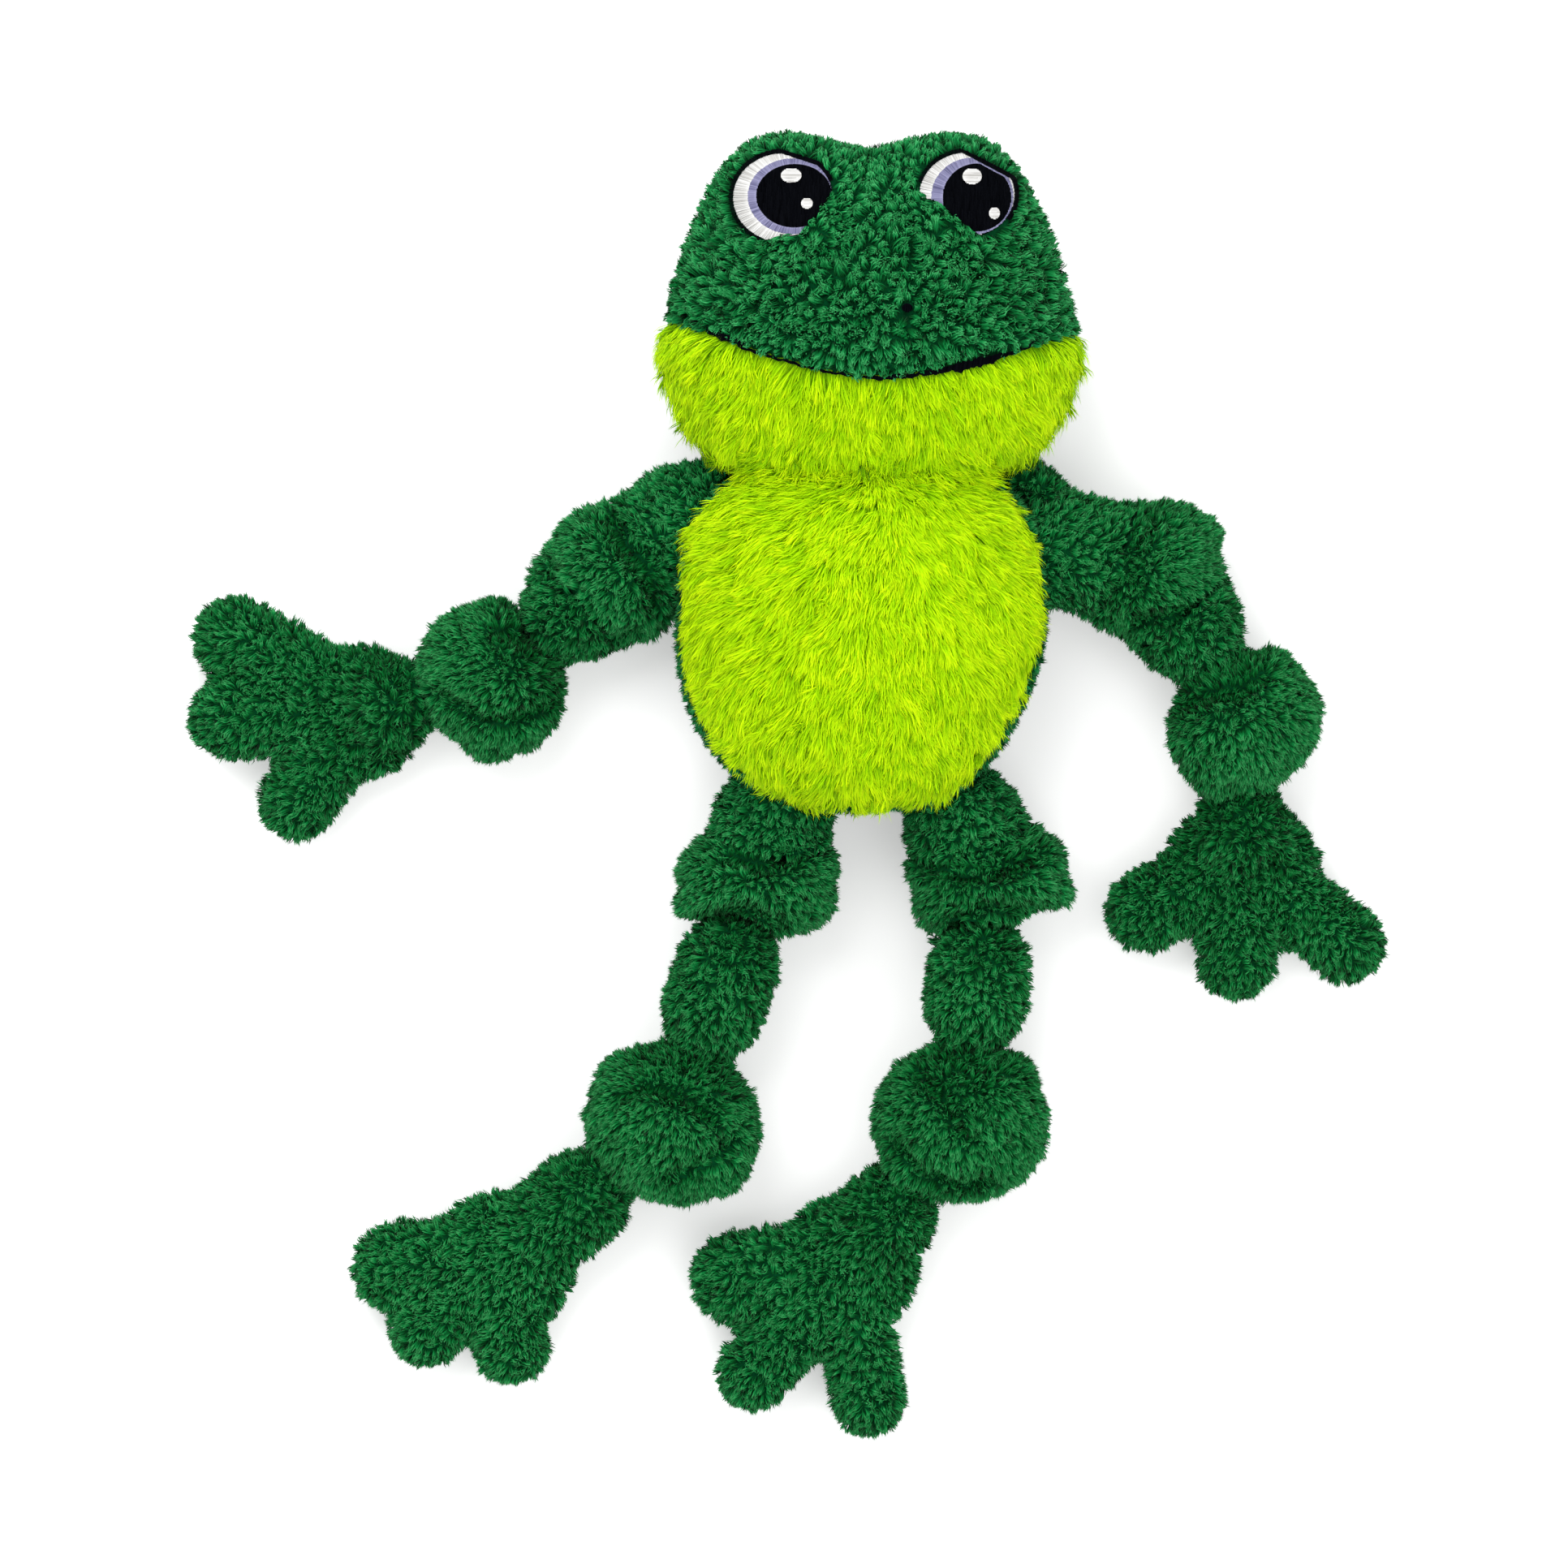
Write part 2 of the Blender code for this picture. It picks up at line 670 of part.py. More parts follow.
def build_arm(name, pose):
    """Sleeve, upper knot and tube move together; the lower knot and the hand each bend on their own."""
    first, second, third, paw = headings_of(pose)
    seat_share, spacing_share, hand_share = pose.reach_shares
    spacing = ARM_KNOT_SPACING * spacing_share

    shoulder = new_empty(f"{name}_shoulder", ROOT, seat_of(pose), first)
    knot_at = Vector((ARM_SEAT_TO_KNOT * seat_share, 0, 0))
    half_sizes = (ARM_UPPER_KNOT_HALF_LENGTH, ARM_UPPER_KNOT_HALF_WIDTH, knot_height())
    upper = Knot(knot_at, half_sizes, pose.upper_wrap_tilt)
    upper_knot = build_knot(f"{name}_upper_knot", shoulder, upper)

    sleeve_half = (ARM_SLEEVE_RADIUS,) * 2
    sleeve_end = inside_knot(upper, ARM_SLEEVE_RADIUS)
    sleeve_name = f"{name}_sleeve"
    sleeve = tube_form(
        sleeve_name, shoulder, (0, 0, 0), sleeve_end, sleeve_half, sleeve_half, TUBE_SEGMENTS, TUBE_RINGS
    )
    dress(sleeve, LIMB_CLOTH)
    cut_by_knot(sleeve, f"{name}_sleeve", shoulder, upper)
    seat = seat_cutters(name, shoulder, sleeve_end, ARM_SLEEVE_RADIUS)

    upper_centre = new_empty(f"{name}_upper_knot_centre", shoulder, knot_at, second - first)
    elbow_reach = spacing - ARM_LOWER_KNOT_HALF_LENGTH - socket_reach(ARM_TUBE_RADIUS)
    elbow_at = (elbow_reach, 0, 0)
    tube_half = (ARM_TUBE_RADIUS,) * 2
    tube = tube_form(
        f"{name}_tube", upper_centre, (SKIN, 0, 0), elbow_at, tube_half, tube_half, TUBE_SEGMENTS, TUBE_RINGS
    )
    dress(tube, LIMB_CLOTH)
    cut_by_knot(tube, f"{name}_tube", shoulder, upper)

    elbow = new_empty(f"{name}_elbow", upper_centre, elbow_at)
    build_forearm(name, pose, elbow, spacing - elbow_reach, third - second, paw - third, hand_share)
    return upper_knot, seat


def build_forearm(name, pose, elbow, knot_reach, bend, paw_turn, hand_share):
    lower_at = Vector((knot_reach, 0, 0))
    half_sizes = (ARM_LOWER_KNOT_HALF_LENGTH, ARM_LOWER_KNOT_HALF_WIDTH, knot_height())
    knot = build_knot(f"{name}_lower_knot", elbow, Knot(lower_at, half_sizes, pose.lower_wrap_tilt))
    cut_socket(knot, elbow, (0, 0, 0), ARM_TUBE_RADIUS)

    lower_centre = new_empty(f"{name}_lower_knot_centre", elbow, lower_at, bend)
    wrist_reach = ARM_LOWER_KNOT_HALF_LENGTH + socket_reach(WRIST_RADIUS)
    wrist_at = (wrist_reach, 0, WRIST_HEIGHT - LIMB_HEIGHT)
    wrist = new_empty(f"{name}_wrist", lower_centre, wrist_at)
    wrist_socket = ball_cutter(f"{name}_wrist_cutter", wrist, (0, 0, 0), (WRIST_RADIUS,) * 3)
    combine(knot, wrist_socket)
    build_paw(
        name.replace("arm", "hand"),
        wrist,
        paw_turn,
        HAND_REACH * hand_share - wrist_reach,
        (PALM_HALF_LENGTH, PALM_HALF_WIDTH * pose.palm_share),
        FINGER_REACH,
        FINGER_RADIUS,
        WRIST_RADIUS,
        pose.digit_shares,
    )


def build_leg(name, pose):
    """Sleeve and upper knot move together; the shin, the lower knot and the foot each bend on their own."""
    first, second, third, paw = headings_of(pose)
    seat_share, spacing_share, foot_share = pose.reach_shares
    spacing = LEG_KNOT_SPACING * spacing_share

    hip = new_empty(f"{name}_hip", ROOT, seat_of(pose), first)
    knot_at = Vector((LEG_SEAT_TO_KNOT * seat_share, 0, 0))
    half_sizes = (LEG_UPPER_KNOT_HALF_LENGTH, LEG_UPPER_KNOT_HALF_WIDTH, knot_height())
    upper = Knot(knot_at, half_sizes, pose.upper_wrap_tilt)
    upper_knot = build_knot(f"{name}_upper_knot", hip, upper)

    sleeve_half = (LEG_SLEEVE_RADIUS,) * 2
    sleeve_end = inside_knot(upper, LEG_SLEEVE_RADIUS)
    sleeve = tube_form(
        f"{name}_sleeve", hip, (0, 0, 0), sleeve_end, sleeve_half, sleeve_half, TUBE_SEGMENTS, TUBE_RINGS
    )
    dress(sleeve, LIMB_CLOTH)
    cut_by_knot(sleeve, f"{name}_sleeve", hip, upper)
    seat = seat_cutters(name, hip, sleeve_end, LEG_SLEEVE_RADIUS)

    upper_centre = new_empty(f"{name}_upper_knot_centre", hip, knot_at, second - first)
    knee_reach = LEG_UPPER_KNOT_HALF_LENGTH + socket_reach(LEG_TUBE_RADIUS)
    knee = new_empty(f"{name}_knee", upper_centre, (knee_reach, 0, 0))
    cut_socket(upper_knot, knee, (0, 0, 0), LEG_TUBE_RADIUS)

    shin_end = spacing - LEG_LOWER_KNOT_HALF_LENGTH - socket_reach(LEG_TUBE_RADIUS)
    shin_at = (shin_end - knee_reach, 0, 0)
    tube_half = (LEG_TUBE_RADIUS,) * 2
    shin = tube_form(
        f"{name}_shin", knee, (0, 0, 0), shin_at, tube_half, tube_half, TUBE_SEGMENTS, TUBE_RINGS
    )
    dress(shin, LIMB_CLOTH)

    ankle_knot = new_empty(f"{name}_shin_end", knee, shin_at)
    lower_at = Vector((spacing - shin_end, 0, 0))
    half_sizes = (LEG_LOWER_KNOT_HALF_LENGTH, LEG_LOWER_KNOT_HALF_WIDTH, knot_height())
    lower = Knot(lower_at, half_sizes, pose.lower_wrap_tilt)
    lower_knot = build_knot(f"{name}_lower_knot", ankle_knot, lower)
    cut_socket(lower_knot, ankle_knot, (0, 0, 0), LEG_TUBE_RADIUS)

    lower_centre = new_empty(f"{name}_lower_knot_centre", ankle_knot, lower_at, third - second)
    ankle_reach = LEG_LOWER_KNOT_HALF_LENGTH + socket_reach(ANKLE_RADIUS)
    ankle = new_empty(f"{name}_ankle", lower_centre, (ankle_reach, 0, WRIST_HEIGHT - LIMB_HEIGHT))
    combine(lower_knot, ball_cutter(f"{name}_ankle_cutter", ankle, (0, 0, 0), (ANKLE_RADIUS,) * 3))
    build_paw(
        name.replace("leg", "foot"),
        ankle,
        paw - third,
        FOOT_REACH * foot_share - ankle_reach,
        (SOLE_HALF_LENGTH, SOLE_HALF_WIDTH * pose.palm_share),
        TOE_REACH,
        TOE_RADIUS,
        ANKLE_RADIUS,
        pose.digit_shares,
    )
    return upper_knot, seat


def build_frog():
    limbs = []
    for name, pose in LIMB_POSES.items():
        build_limb = build_arm if name.endswith("arm") else build_leg
        limbs.append(build_limb(name, pose))
    pivot, neck_cutter = build_neck()
    build_torso(neck_cutter, limbs)
    build_face(build_head(pivot, neck_cutter))


build_frog()
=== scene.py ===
import json
import math
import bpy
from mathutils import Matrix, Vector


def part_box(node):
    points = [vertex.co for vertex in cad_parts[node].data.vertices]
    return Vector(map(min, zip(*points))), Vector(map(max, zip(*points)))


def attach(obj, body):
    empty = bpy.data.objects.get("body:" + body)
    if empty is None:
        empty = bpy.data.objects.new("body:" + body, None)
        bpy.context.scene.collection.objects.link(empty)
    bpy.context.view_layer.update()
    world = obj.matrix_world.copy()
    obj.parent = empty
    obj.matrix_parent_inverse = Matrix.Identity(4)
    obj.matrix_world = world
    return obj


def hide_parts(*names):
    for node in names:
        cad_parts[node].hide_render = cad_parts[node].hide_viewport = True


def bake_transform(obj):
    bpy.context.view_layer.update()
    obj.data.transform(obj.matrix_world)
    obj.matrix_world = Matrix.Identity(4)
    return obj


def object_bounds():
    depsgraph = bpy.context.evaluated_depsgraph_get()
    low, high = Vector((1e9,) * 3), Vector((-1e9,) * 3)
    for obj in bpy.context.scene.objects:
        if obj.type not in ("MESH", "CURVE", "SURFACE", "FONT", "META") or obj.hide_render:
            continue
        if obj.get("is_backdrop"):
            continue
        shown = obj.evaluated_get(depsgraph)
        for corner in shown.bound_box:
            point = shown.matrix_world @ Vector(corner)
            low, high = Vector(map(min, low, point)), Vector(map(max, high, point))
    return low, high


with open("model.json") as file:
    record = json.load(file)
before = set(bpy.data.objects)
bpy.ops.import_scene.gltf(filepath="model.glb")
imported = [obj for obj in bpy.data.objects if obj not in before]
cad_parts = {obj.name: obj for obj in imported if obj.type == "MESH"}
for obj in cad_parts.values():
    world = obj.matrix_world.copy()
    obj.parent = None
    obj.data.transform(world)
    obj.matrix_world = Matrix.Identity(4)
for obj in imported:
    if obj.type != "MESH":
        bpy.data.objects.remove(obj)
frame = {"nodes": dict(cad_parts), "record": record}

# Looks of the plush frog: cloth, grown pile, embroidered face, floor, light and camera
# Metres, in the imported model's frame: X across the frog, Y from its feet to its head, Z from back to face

import zlib
from collections import namedtuple

import bmesh
import bpy
import numpy as np
from mathutils import Vector
from mathutils.bvhtree import BVHTree
from mathutils.kdtree import KDTree

CAD_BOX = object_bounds()

# Camera: straight above the frog, far enough for little perspective
PIXEL = 0.0003064
ORIGIN_PIXEL = (1062, 790)
PICTURE_SIDE = 1932
FOCUS_HEIGHT = 0.045
LENS = 300.0
SENSOR = 36.0
VIEW_WIDTH = PICTURE_SIDE * PIXEL
CAMERA_DISTANCE = VIEW_WIDTH * LENS / SENSOR
VIEW_CENTRE = (
    (PICTURE_SIDE / 2 - ORIGIN_PIXEL[0]) * PIXEL,
    (ORIGIN_PIXEL[1] - PICTURE_SIDE / 2) * PIXEL,
)
CAMERA_PLACE = np.array([VIEW_CENTRE[0], VIEW_CENTRE[1], FOCUS_HEIGHT + CAMERA_DISTANCE])

# Cloth under the pile: how far it is drawn in from the solid, how thick and how fine it is
FLEECE_INSET = 0.0038
LIMB_INSET = 0.0027
LIME_INSET = 0.0042
CLOTH_THICKNESS = 0.0012
CLOTH_VOXEL = 0.0018
SMOOTHING_ROUNDS = 7
# The cloth is drawn in less where another solid is nearer than this
MEETING_REACH = 0.0045

# Pile near the floor and near the next piece: it is shorter where it has less room, down to a share
FLOOR_CLEARANCE = 0.0006
REACH_OF_NEIGHBOUR = 0.0065
LEAST_ROOM = 0.0008
CROWDED_SHARE = 0.6
BAKE_MAP = "OFBake"

# Folds: how wide and deep they are, how high above a piece's middle they are full, how much painted
# shade darkens the pile in them, and how much they shorten it
FOLD_WIDTH = 0.0036
FOLD_DEPTH = 0.0048
FOLD_TOP = 0.012
FOLD_SHADE = 0.50
FOLD_SHORTENING = 0.35

# Paths of the folds in the knots and of the crease under the nostril, as the camera sees them, in pixels
FOLDS = {
    "head_crown": (((1116, 384), (1113, 398), (1114, 414)),),
    "left_arm_upper_knot": (
        ((757, 634), (768, 668), (790, 690), (806, 720), (812, 752)),
        ((672, 694), (684, 738), (708, 772), (752, 792), (800, 792)),
    ),
    "left_arm_lower_knot": (
        ((612, 776), (652, 782), (694, 800)),
        ((540, 858), (592, 890), (648, 892), (690, 866)),
    ),
    "right_arm_upper_knot": (
        ((1354, 632), (1347, 664), (1338, 700), (1330, 736)),
        ((1404, 772), (1440, 764), (1474, 750)),
    ),
    "right_arm_lower_knot": (((1432, 870), (1470, 858), (1516, 848), (1556, 832)),),
    "left_leg_upper_knot": (
        ((898, 1052), (940, 1064), (984, 1046), (1010, 1020)),
        ((872, 1140), (920, 1128), (962, 1146)),
    ),
    "right_leg_upper_knot": (
        ((1136, 1064), (1186, 1082), (1240, 1072), (1282, 1052)),
        ((1174, 1138), (1226, 1122), (1270, 1132)),
    ),
    "left_leg_lower_knot": (
        ((762, 1350), (800, 1336), (846, 1348), (884, 1378)),
        ((902, 1406), (872, 1436), (828, 1452)),
    ),
    "right_leg_lower_knot": (
        ((1132, 1322), (1160, 1346), (1172, 1386), (1198, 1408)),
        ((1098, 1410), (1130, 1448), (1184, 1470), (1226, 1462)),
    ),
}

# Torso, head and neck, as in the solids
Egg = namedtuple("Egg", "centre half_width half_depth top bottom bluntness taper depth_taper")
TORSO = Egg((0.0, 0.006, 0.0455), 0.0715, 0.046, 0.0614, 0.0714, (2.4, 3.6), (0.0, 0.0), (0.0, 0.20))
HEAD = Egg((0.003, 0.1103, 0.0495), 0.081, 0.050, 0.0732, 0.0501, (3.7, 6.5), (0.14, 0.26), (0.30, 0.42))
EYE_BUMP_HEIGHT = 0.0105
EYE_BUMP_WIDTH = 0.030
EYE_SPACING = 0.0704
BELLY_SEAM = 0.0555
CHIN_SEAM = 0.0435
NECK_CENTRE = (0.002, 0.0628, 0.0455)
NECK_HALF_SIZES = (0.053, 0.027, 0.027)

# The torso's lower right is drawn in, because it leans to the other side
TORSO_LEAN = 0.0056
LEAN_LEVEL = -0.036
LEAN_REACH = 0.028
LEAN_ACROSS = (0.015, 0.060)

# The mouth's curve, and half the thickness of its line at places across the picture, in pixels
MOUTH_HALF_WIDTH = 0.078
MOUTH_SAG = 0.0215
MOUTH_CORNER_RISE = 0.010
MOUTH_CURVE = 1.6
MOUTH_SLANT = 0.04
MOUTH_LINE_SHARE = 0.77
MOUTH_PLACES = (864, 876, 890, 905, 925, 965, 1060, 1085, 1130, 1165, 1180, 1215, 1232, 1262)
MOUTH_HALF_THICKNESSES = (0.5, 3.0, 4.2, 3.0, 1.8, 1.3, 1.2, 2.4, 2.8, 3.6, 5.6, 5.6, 3.0, 0.8)

# Cloth bunched between the chin and each sleeve: its middle in pixels, its height, half sizes and turn
Bunch = namedtuple("Bunch", "middle height half_sizes degrees")
BUNCHES = {
    "right": Bunch((1268, 594), 0.031, (0.0165, 0.0070, 0.0130), -33.0),
    "left": Bunch((880, 589), 0.031, (0.0150, 0.0066, 0.0130), 26.0),
}

# How each pile grows: fibres stand in clumps, lean along a flow and are drawn to their clump's tip
Pile = namedtuple(
    "Pile",
    "length width density clump lean stray frizz pull pull_power twist"
    " hook curl lift droop round mottle levels",
)
PER_MM2 = 1e6
CURLED = Pile(
    length=0.0060, width=0.00048, density=2.5 * PER_MM2, clump=0.0035, lean=0.60, stray=0.37,
    frizz=0.14, pull=0.67, pull_power=1.5, twist=1.2, hook=0.25, curl=0.00018, lift=0.12, droop=0.0,
    round=1.1, mottle=0.16, levels=4,
)
FINE = CURLED._replace(
    length=0.0051, width=0.00045, density=2.8 * PER_MM2, clump=0.0027, lean=0.65, stray=0.40,
    frizz=0.15, pull=0.64, hook=0.22, mottle=0.15, levels=3,
)
COMBED = FINE._replace(
    length=0.0050, width=0.00044, density=3.1 * PER_MM2, clump=0.0024, lean=0.90, stray=0.32,
    frizz=0.14, pull_power=1.4, twist=0.9, hook=0.14, curl=0.00017, lift=0.15, droop=0.03, round=0.9,
)
LONG = Pile(
    length=0.0115, width=0.00036, density=4.6 * PER_MM2, clump=0.0024, lean=2.4, stray=0.26,
    frizz=0.13, pull=0.58, pull_power=1.3, twist=0.3, hook=0.0, curl=0.00022, lift=0.22, droop=0.18,
    round=0.30, mottle=0.27, levels=4,
)
NECK_LONG = LONG._replace(length=0.0100, lean=0.9, droop=0.0, lift=0.30)

# The pile is thinner underneath, where a surface faces down at least this much
UNDERSIDE_NORMAL = -0.35
UNDERSIDE_SHARE = 0.55

# How much clumps differ from one another. A length keeps to limits, a twist is a least share and what
# chance adds to it
LEAN_SPREAD = 0.25
CLUMP_LENGTH_SPREAD = 0.14
CLUMP_LENGTHS = (0.7, 1.3)
CLUMP_TWISTS = (0.4, 0.6)

# How much fibres differ from one another. Lengths and widths are a least share and what chance adds to it
FIBRE_LENGTHS = (0.72, 0.4)
FIBRE_WIDTHS = (0.75, 0.5)
FIBRE_TONE_SPREAD = 0.17
FACING_SPREAD = 0.35

# Tones, from 0 for dark to 1 for light: slow waves over the frog, and pieces that differ from the rest
TONE_LIMITS = (0.02, 0.98)
TONE_ACROSS_FIBRE = 0.004
TONE_WAVES = 0.08
TONE_SHIFTS = {
    "left_arm_upper_knot": 0.13,
    "left_hand": -0.04,
    "right_hand": -0.10,
    "left_leg_upper_knot": 0.16,
    "right_leg_lower_knot": -0.05,
    "left_foot": 0.08,
}


def seeded(name):
    return np.random.default_rng(zlib.crc32(name.encode()))


def unit_rows(vectors):
    return vectors / np.maximum(np.linalg.norm(vectors, axis=1, keepdims=True), 1e-12)


def smooth_step(share):
    share = np.clip(share, 0.0, 1.0)
    return share * share * (3 - 2 * share)


def ramp(values, start, end):
    """A smooth rise from 0 at one value to 1 at another."""
    return smooth_step((values - start) / (end - start))


def in_picture(px, py):
    """Where a pixel of the picture lies on the level that the camera is focused on."""
    return (px - ORIGIN_PIXEL[0]) * PIXEL, (ORIGIN_PIXEL[1] - py) * PIXEL


def polar(centre, angle, reach):
    """Where the pixel at an angle and a reach from another pixel lies."""
    return in_picture(centre[0] + reach * math.cos(angle), centre[1] - reach * math.sin(angle))


def seen_at(points):
    """Where the camera sees points, on the level that it is focused on."""
    drop = (CAMERA_PLACE[2] - points[:, 2:3]) / CAMERA_DISTANCE
    return CAMERA_PLACE[:2] + (points[:, :2] - CAMERA_PLACE[:2]) / drop


def middle_of(node):
    low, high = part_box(node)
    return (np.array(low) + np.array(high)) / 2


# Materials

def new_material(name):
    material = bpy.data.materials.new(name)
    material.use_nodes = True
    return material, material.node_tree, material.node_tree.nodes["Principled BSDF"]


def link(source, output, target, entry):
    """Joins an output of one node to an input of another."""
    source.id_data.links.new(source.outputs[output], target.inputs[entry])


def set_inputs(node, values):
    for name, value in values.items():
        node.inputs[name].default_value = value


def ramp_node(tree, stops, source, output):
    """Colours between stops, picked by a node's output."""
    node = tree.nodes.new("ShaderNodeValToRGB")
    elements = node.color_ramp.elements
    while len(elements) < len(stops):
        elements.new(0.5)
    for element, (place, colour) in zip(elements, stops):
        element.position = place
        element.color = (*colour, 1.0)
    link(source, output, node, "Fac")
    return node


def tone_split(tree):
    """The two numbers of the map: the tone in X and how far along the fibre in Y."""
    place = tree.nodes.new("ShaderNodeUVMap")
    place.uv_map = BAKE_MAP
    split = tree.nodes.new("ShaderNodeSeparateXYZ")
    link(place, "UV", split, "Vector")
    return split


def toned_roughness(tree, shader, split, roughness, spread):
    """Rougher where the tone is dark and smoother where it is light."""
    rough = tree.nodes.new("ShaderNodeMapRange")
    set_inputs(rough, {"To Min": roughness + spread, "To Max": roughness - spread})
    link(split, "X", rough, "Value")
    link(rough, "Result", shader, "Roughness")


def pile_material(name, dark_stops, light_stops, roughness, sheen, sheen_tint):
    """Fibres between two tones, dark at the root as painted shade and light at the tip as a painted
    highlight.
    """
    material, tree, shader = new_material(name)
    split = tone_split(tree)
    mix = tree.nodes.new("ShaderNodeMix")
    mix.data_type = "RGBA"
    link(split, "X", mix, "Factor")
    link(ramp_node(tree, dark_stops, split, "Y"), "Color", mix, 6)
    link(ramp_node(tree, light_stops, split, "Y"), "Color", mix, 7)
    link(mix, 2, shader, "Base Color")
    toned_roughness(tree, shader, split, roughness, 0.08)
    set_inputs(shader, {"Specular IOR Level": 0.08, "Sheen Roughness": 0.45})
    set_inputs(shader, {"Sheen Weight": sheen, "Sheen Tint": (*sheen_tint, 1.0)})
    return material


def cloth_material(name, dark, light, scale, depth):
    """The knitted ground under the pile, mottled and pebbled."""
    material, tree, shader = new_material(name)
    place = tree.nodes.new("ShaderNodeTexCoord")
    noise = tree.nodes.new("ShaderNodeTexNoise")
    cells = tree.nodes.new("ShaderNodeTexVoronoi")
    bump = tree.nodes.new("ShaderNodeBump")
    set_inputs(noise, {"Scale": scale, "Detail": 4.0})
    set_inputs(cells, {"Scale": scale * 1.7})
    set_inputs(bump, {"Strength": 0.8, "Distance": depth})
    set_inputs(shader, {"Roughness": 0.95, "Specular IOR Level": 0.05})
    link(place, "Object", noise, "Vector")
    link(place, "Object", cells, "Vector")
    link(ramp_node(tree, ((0.3, dark), (0.7, light)), noise, "Fac"), "Color", shader, "Base Color")
    link(cells, "Distance", bump, "Height")
    link(bump, "Normal", shader, "Normal")
    return material


def thread_material(name, dark, light, roughness, gloss):
    """Embroidery thread: each stitch has its own tone."""
    material, tree, shader = new_material(name)
    split = tone_split(tree)
    link(ramp_node(tree, ((0.0, dark), (1.0, light)), split, "X"), "Color", shader, "Base Color")
    toned_roughness(tree, shader, split, roughness, 0.1)
    set_inputs(shader, {"Specular IOR Level": gloss})
    return material


# Each pile's stops run from root to tip: its dark roots are painted shade of the pile's depths and its pale
# tips painted highlights
CROWN_PILE = pile_material(
    "crown_fleece_fibres",
    ((0.0, (0.000, 0.030, 0.005)), (0.5, (0.000, 0.110, 0.020)), (1.0, (0.002, 0.220, 0.046))),
    ((0.0, (0.000, 0.050, 0.009)), (0.5, (0.008, 0.260, 0.062)), (1.0, (0.100, 0.580, 0.200))),
    roughness=0.88, sheen=0.06, sheen_tint=(0.55, 1.0, 0.65),
)
LIMB_PILE = pile_material(
    "limb_fleece_fibres",
    ((0.0, (0.000, 0.030, 0.004)), (0.5, (0.000, 0.088, 0.013)), (1.0, (0.001, 0.165, 0.028))),
    ((0.0, (0.000, 0.058, 0.009)), (0.5, (0.004, 0.225, 0.048)), (1.0, (0.085, 0.500, 0.160))),
    roughness=0.88, sheen=0.06, sheen_tint=(0.55, 1.0, 0.65),
)
LIME_PILE = pile_material(
    "lime_pile_fibres",
    ((0.0, (0.090, 0.300, 0.000)), (0.5, (0.310, 0.660, 0.000)), (1.0, (0.500, 0.880, 0.000))),
    ((0.0, (0.210, 0.500, 0.000)), (0.5, (0.600, 0.960, 0.000)), (1.0, (0.820, 1.000, 0.003))),
    roughness=0.80, sheen=0.03, sheen_tint=(0.8, 1.0, 0.3),
)
# The grounds under the piles are as dark as the fibres' roots: painted shade of the pile's depths
GREEN_CLOTH = cloth_material("fleece_ground", (0.000, 0.022, 0.006), (0.000, 0.060, 0.016), 260.0, 0.0008)
LIME_CLOTH = cloth_material("lime_ground", (0.090, 0.300, 0.000), (0.200, 0.500, 0.000), 260.0, 0.0006)
WHITE_THREAD = thread_material("white_thread", (0.44, 0.43, 0.41), (0.80, 0.80, 0.79), 0.6, 0.2)
LILAC_THREAD = thread_material("lilac_thread", (0.080, 0.078, 0.170), (0.310, 0.305, 0.480), 0.6, 0.2)
BLACK_THREAD = thread_material(
    "black_thread", (0.0004, 0.0005, 0.0010), (0.0022, 0.0026, 0.0042), 0.85, 0.02
)


# Meshes

Surface = namedtuple("Surface", "points faces normals hollow", defaults=(None,))


def normals_of(points, faces):
    corners = points[faces]
    across = np.cross(corners[:, 1] - corners[:, 0], corners[:, 2] - corners[:, 0])
    total = np.zeros_like(points)
    for corner in range(3):
        for axis in range(3):
            total[:, axis] += np.bincount(faces[:, corner], across[:, axis], len(points))
    return unit_rows(total)


def surface_of(points, faces):
    return Surface(points, faces, normals_of(points, faces))


def new_item(name, points, corners, sizes, materials, face_slots=None):
    """An object from arrays: its points, its faces' corners in one row, and each face's corner count."""
    mesh = bpy.data.meshes.new(name)
    mesh.vertices.add(len(points))
    mesh.vertices.foreach_set("co", np.asarray(points, np.float32).ravel())
    mesh.loops.add(len(corners))
    mesh.loops.foreach_set("vertex_index", np.asarray(corners, np.int32))
    starts = np.concatenate(([0], np.cumsum(sizes)[:-1]))
    mesh.polygons.add(len(sizes))
    mesh.polygons.foreach_set("loop_start", starts.astype(np.int32))
    for material in materials:
        mesh.materials.append(material)
    if face_slots is not None:
        mesh.polygons.foreach_set("material_index", np.asarray(face_slots, np.int32))
    mesh.update(calc_edges=True)
    mesh.validate()
    mesh.shade_smooth()
    item = bpy.data.objects.new(name, mesh)
    bpy.context.scene.collection.objects.link(item)
    return item


def set_map(item, places):
    """A map that holds each vertex's tone and how far along its fibre it is."""
    mesh = item.data
    layer = mesh.uv_layers.new(name=BAKE_MAP)
    vertex = np.empty(len(mesh.loops), np.int32)
    mesh.loops.foreach_get("vertex_index", vertex)
    layer.uv.foreach_set("vector", places[vertex].astype(np.float32).ravel())


# How finely the balls behind the eggs and the smaller shapes are divided
EGG_DIVISIONS = 6
SMALL_DIVISIONS = 4


def ball(subdivisions):
    shape = bmesh.new()
    bmesh.ops.create_icosphere(shape, subdivisions=subdivisions, radius=1)
    points = np.array([vertex.co for vertex in shape.verts])
    faces = np.array([[vertex.index for vertex in face.verts] for face in shape.faces])
    shape.free()
    return points, faces


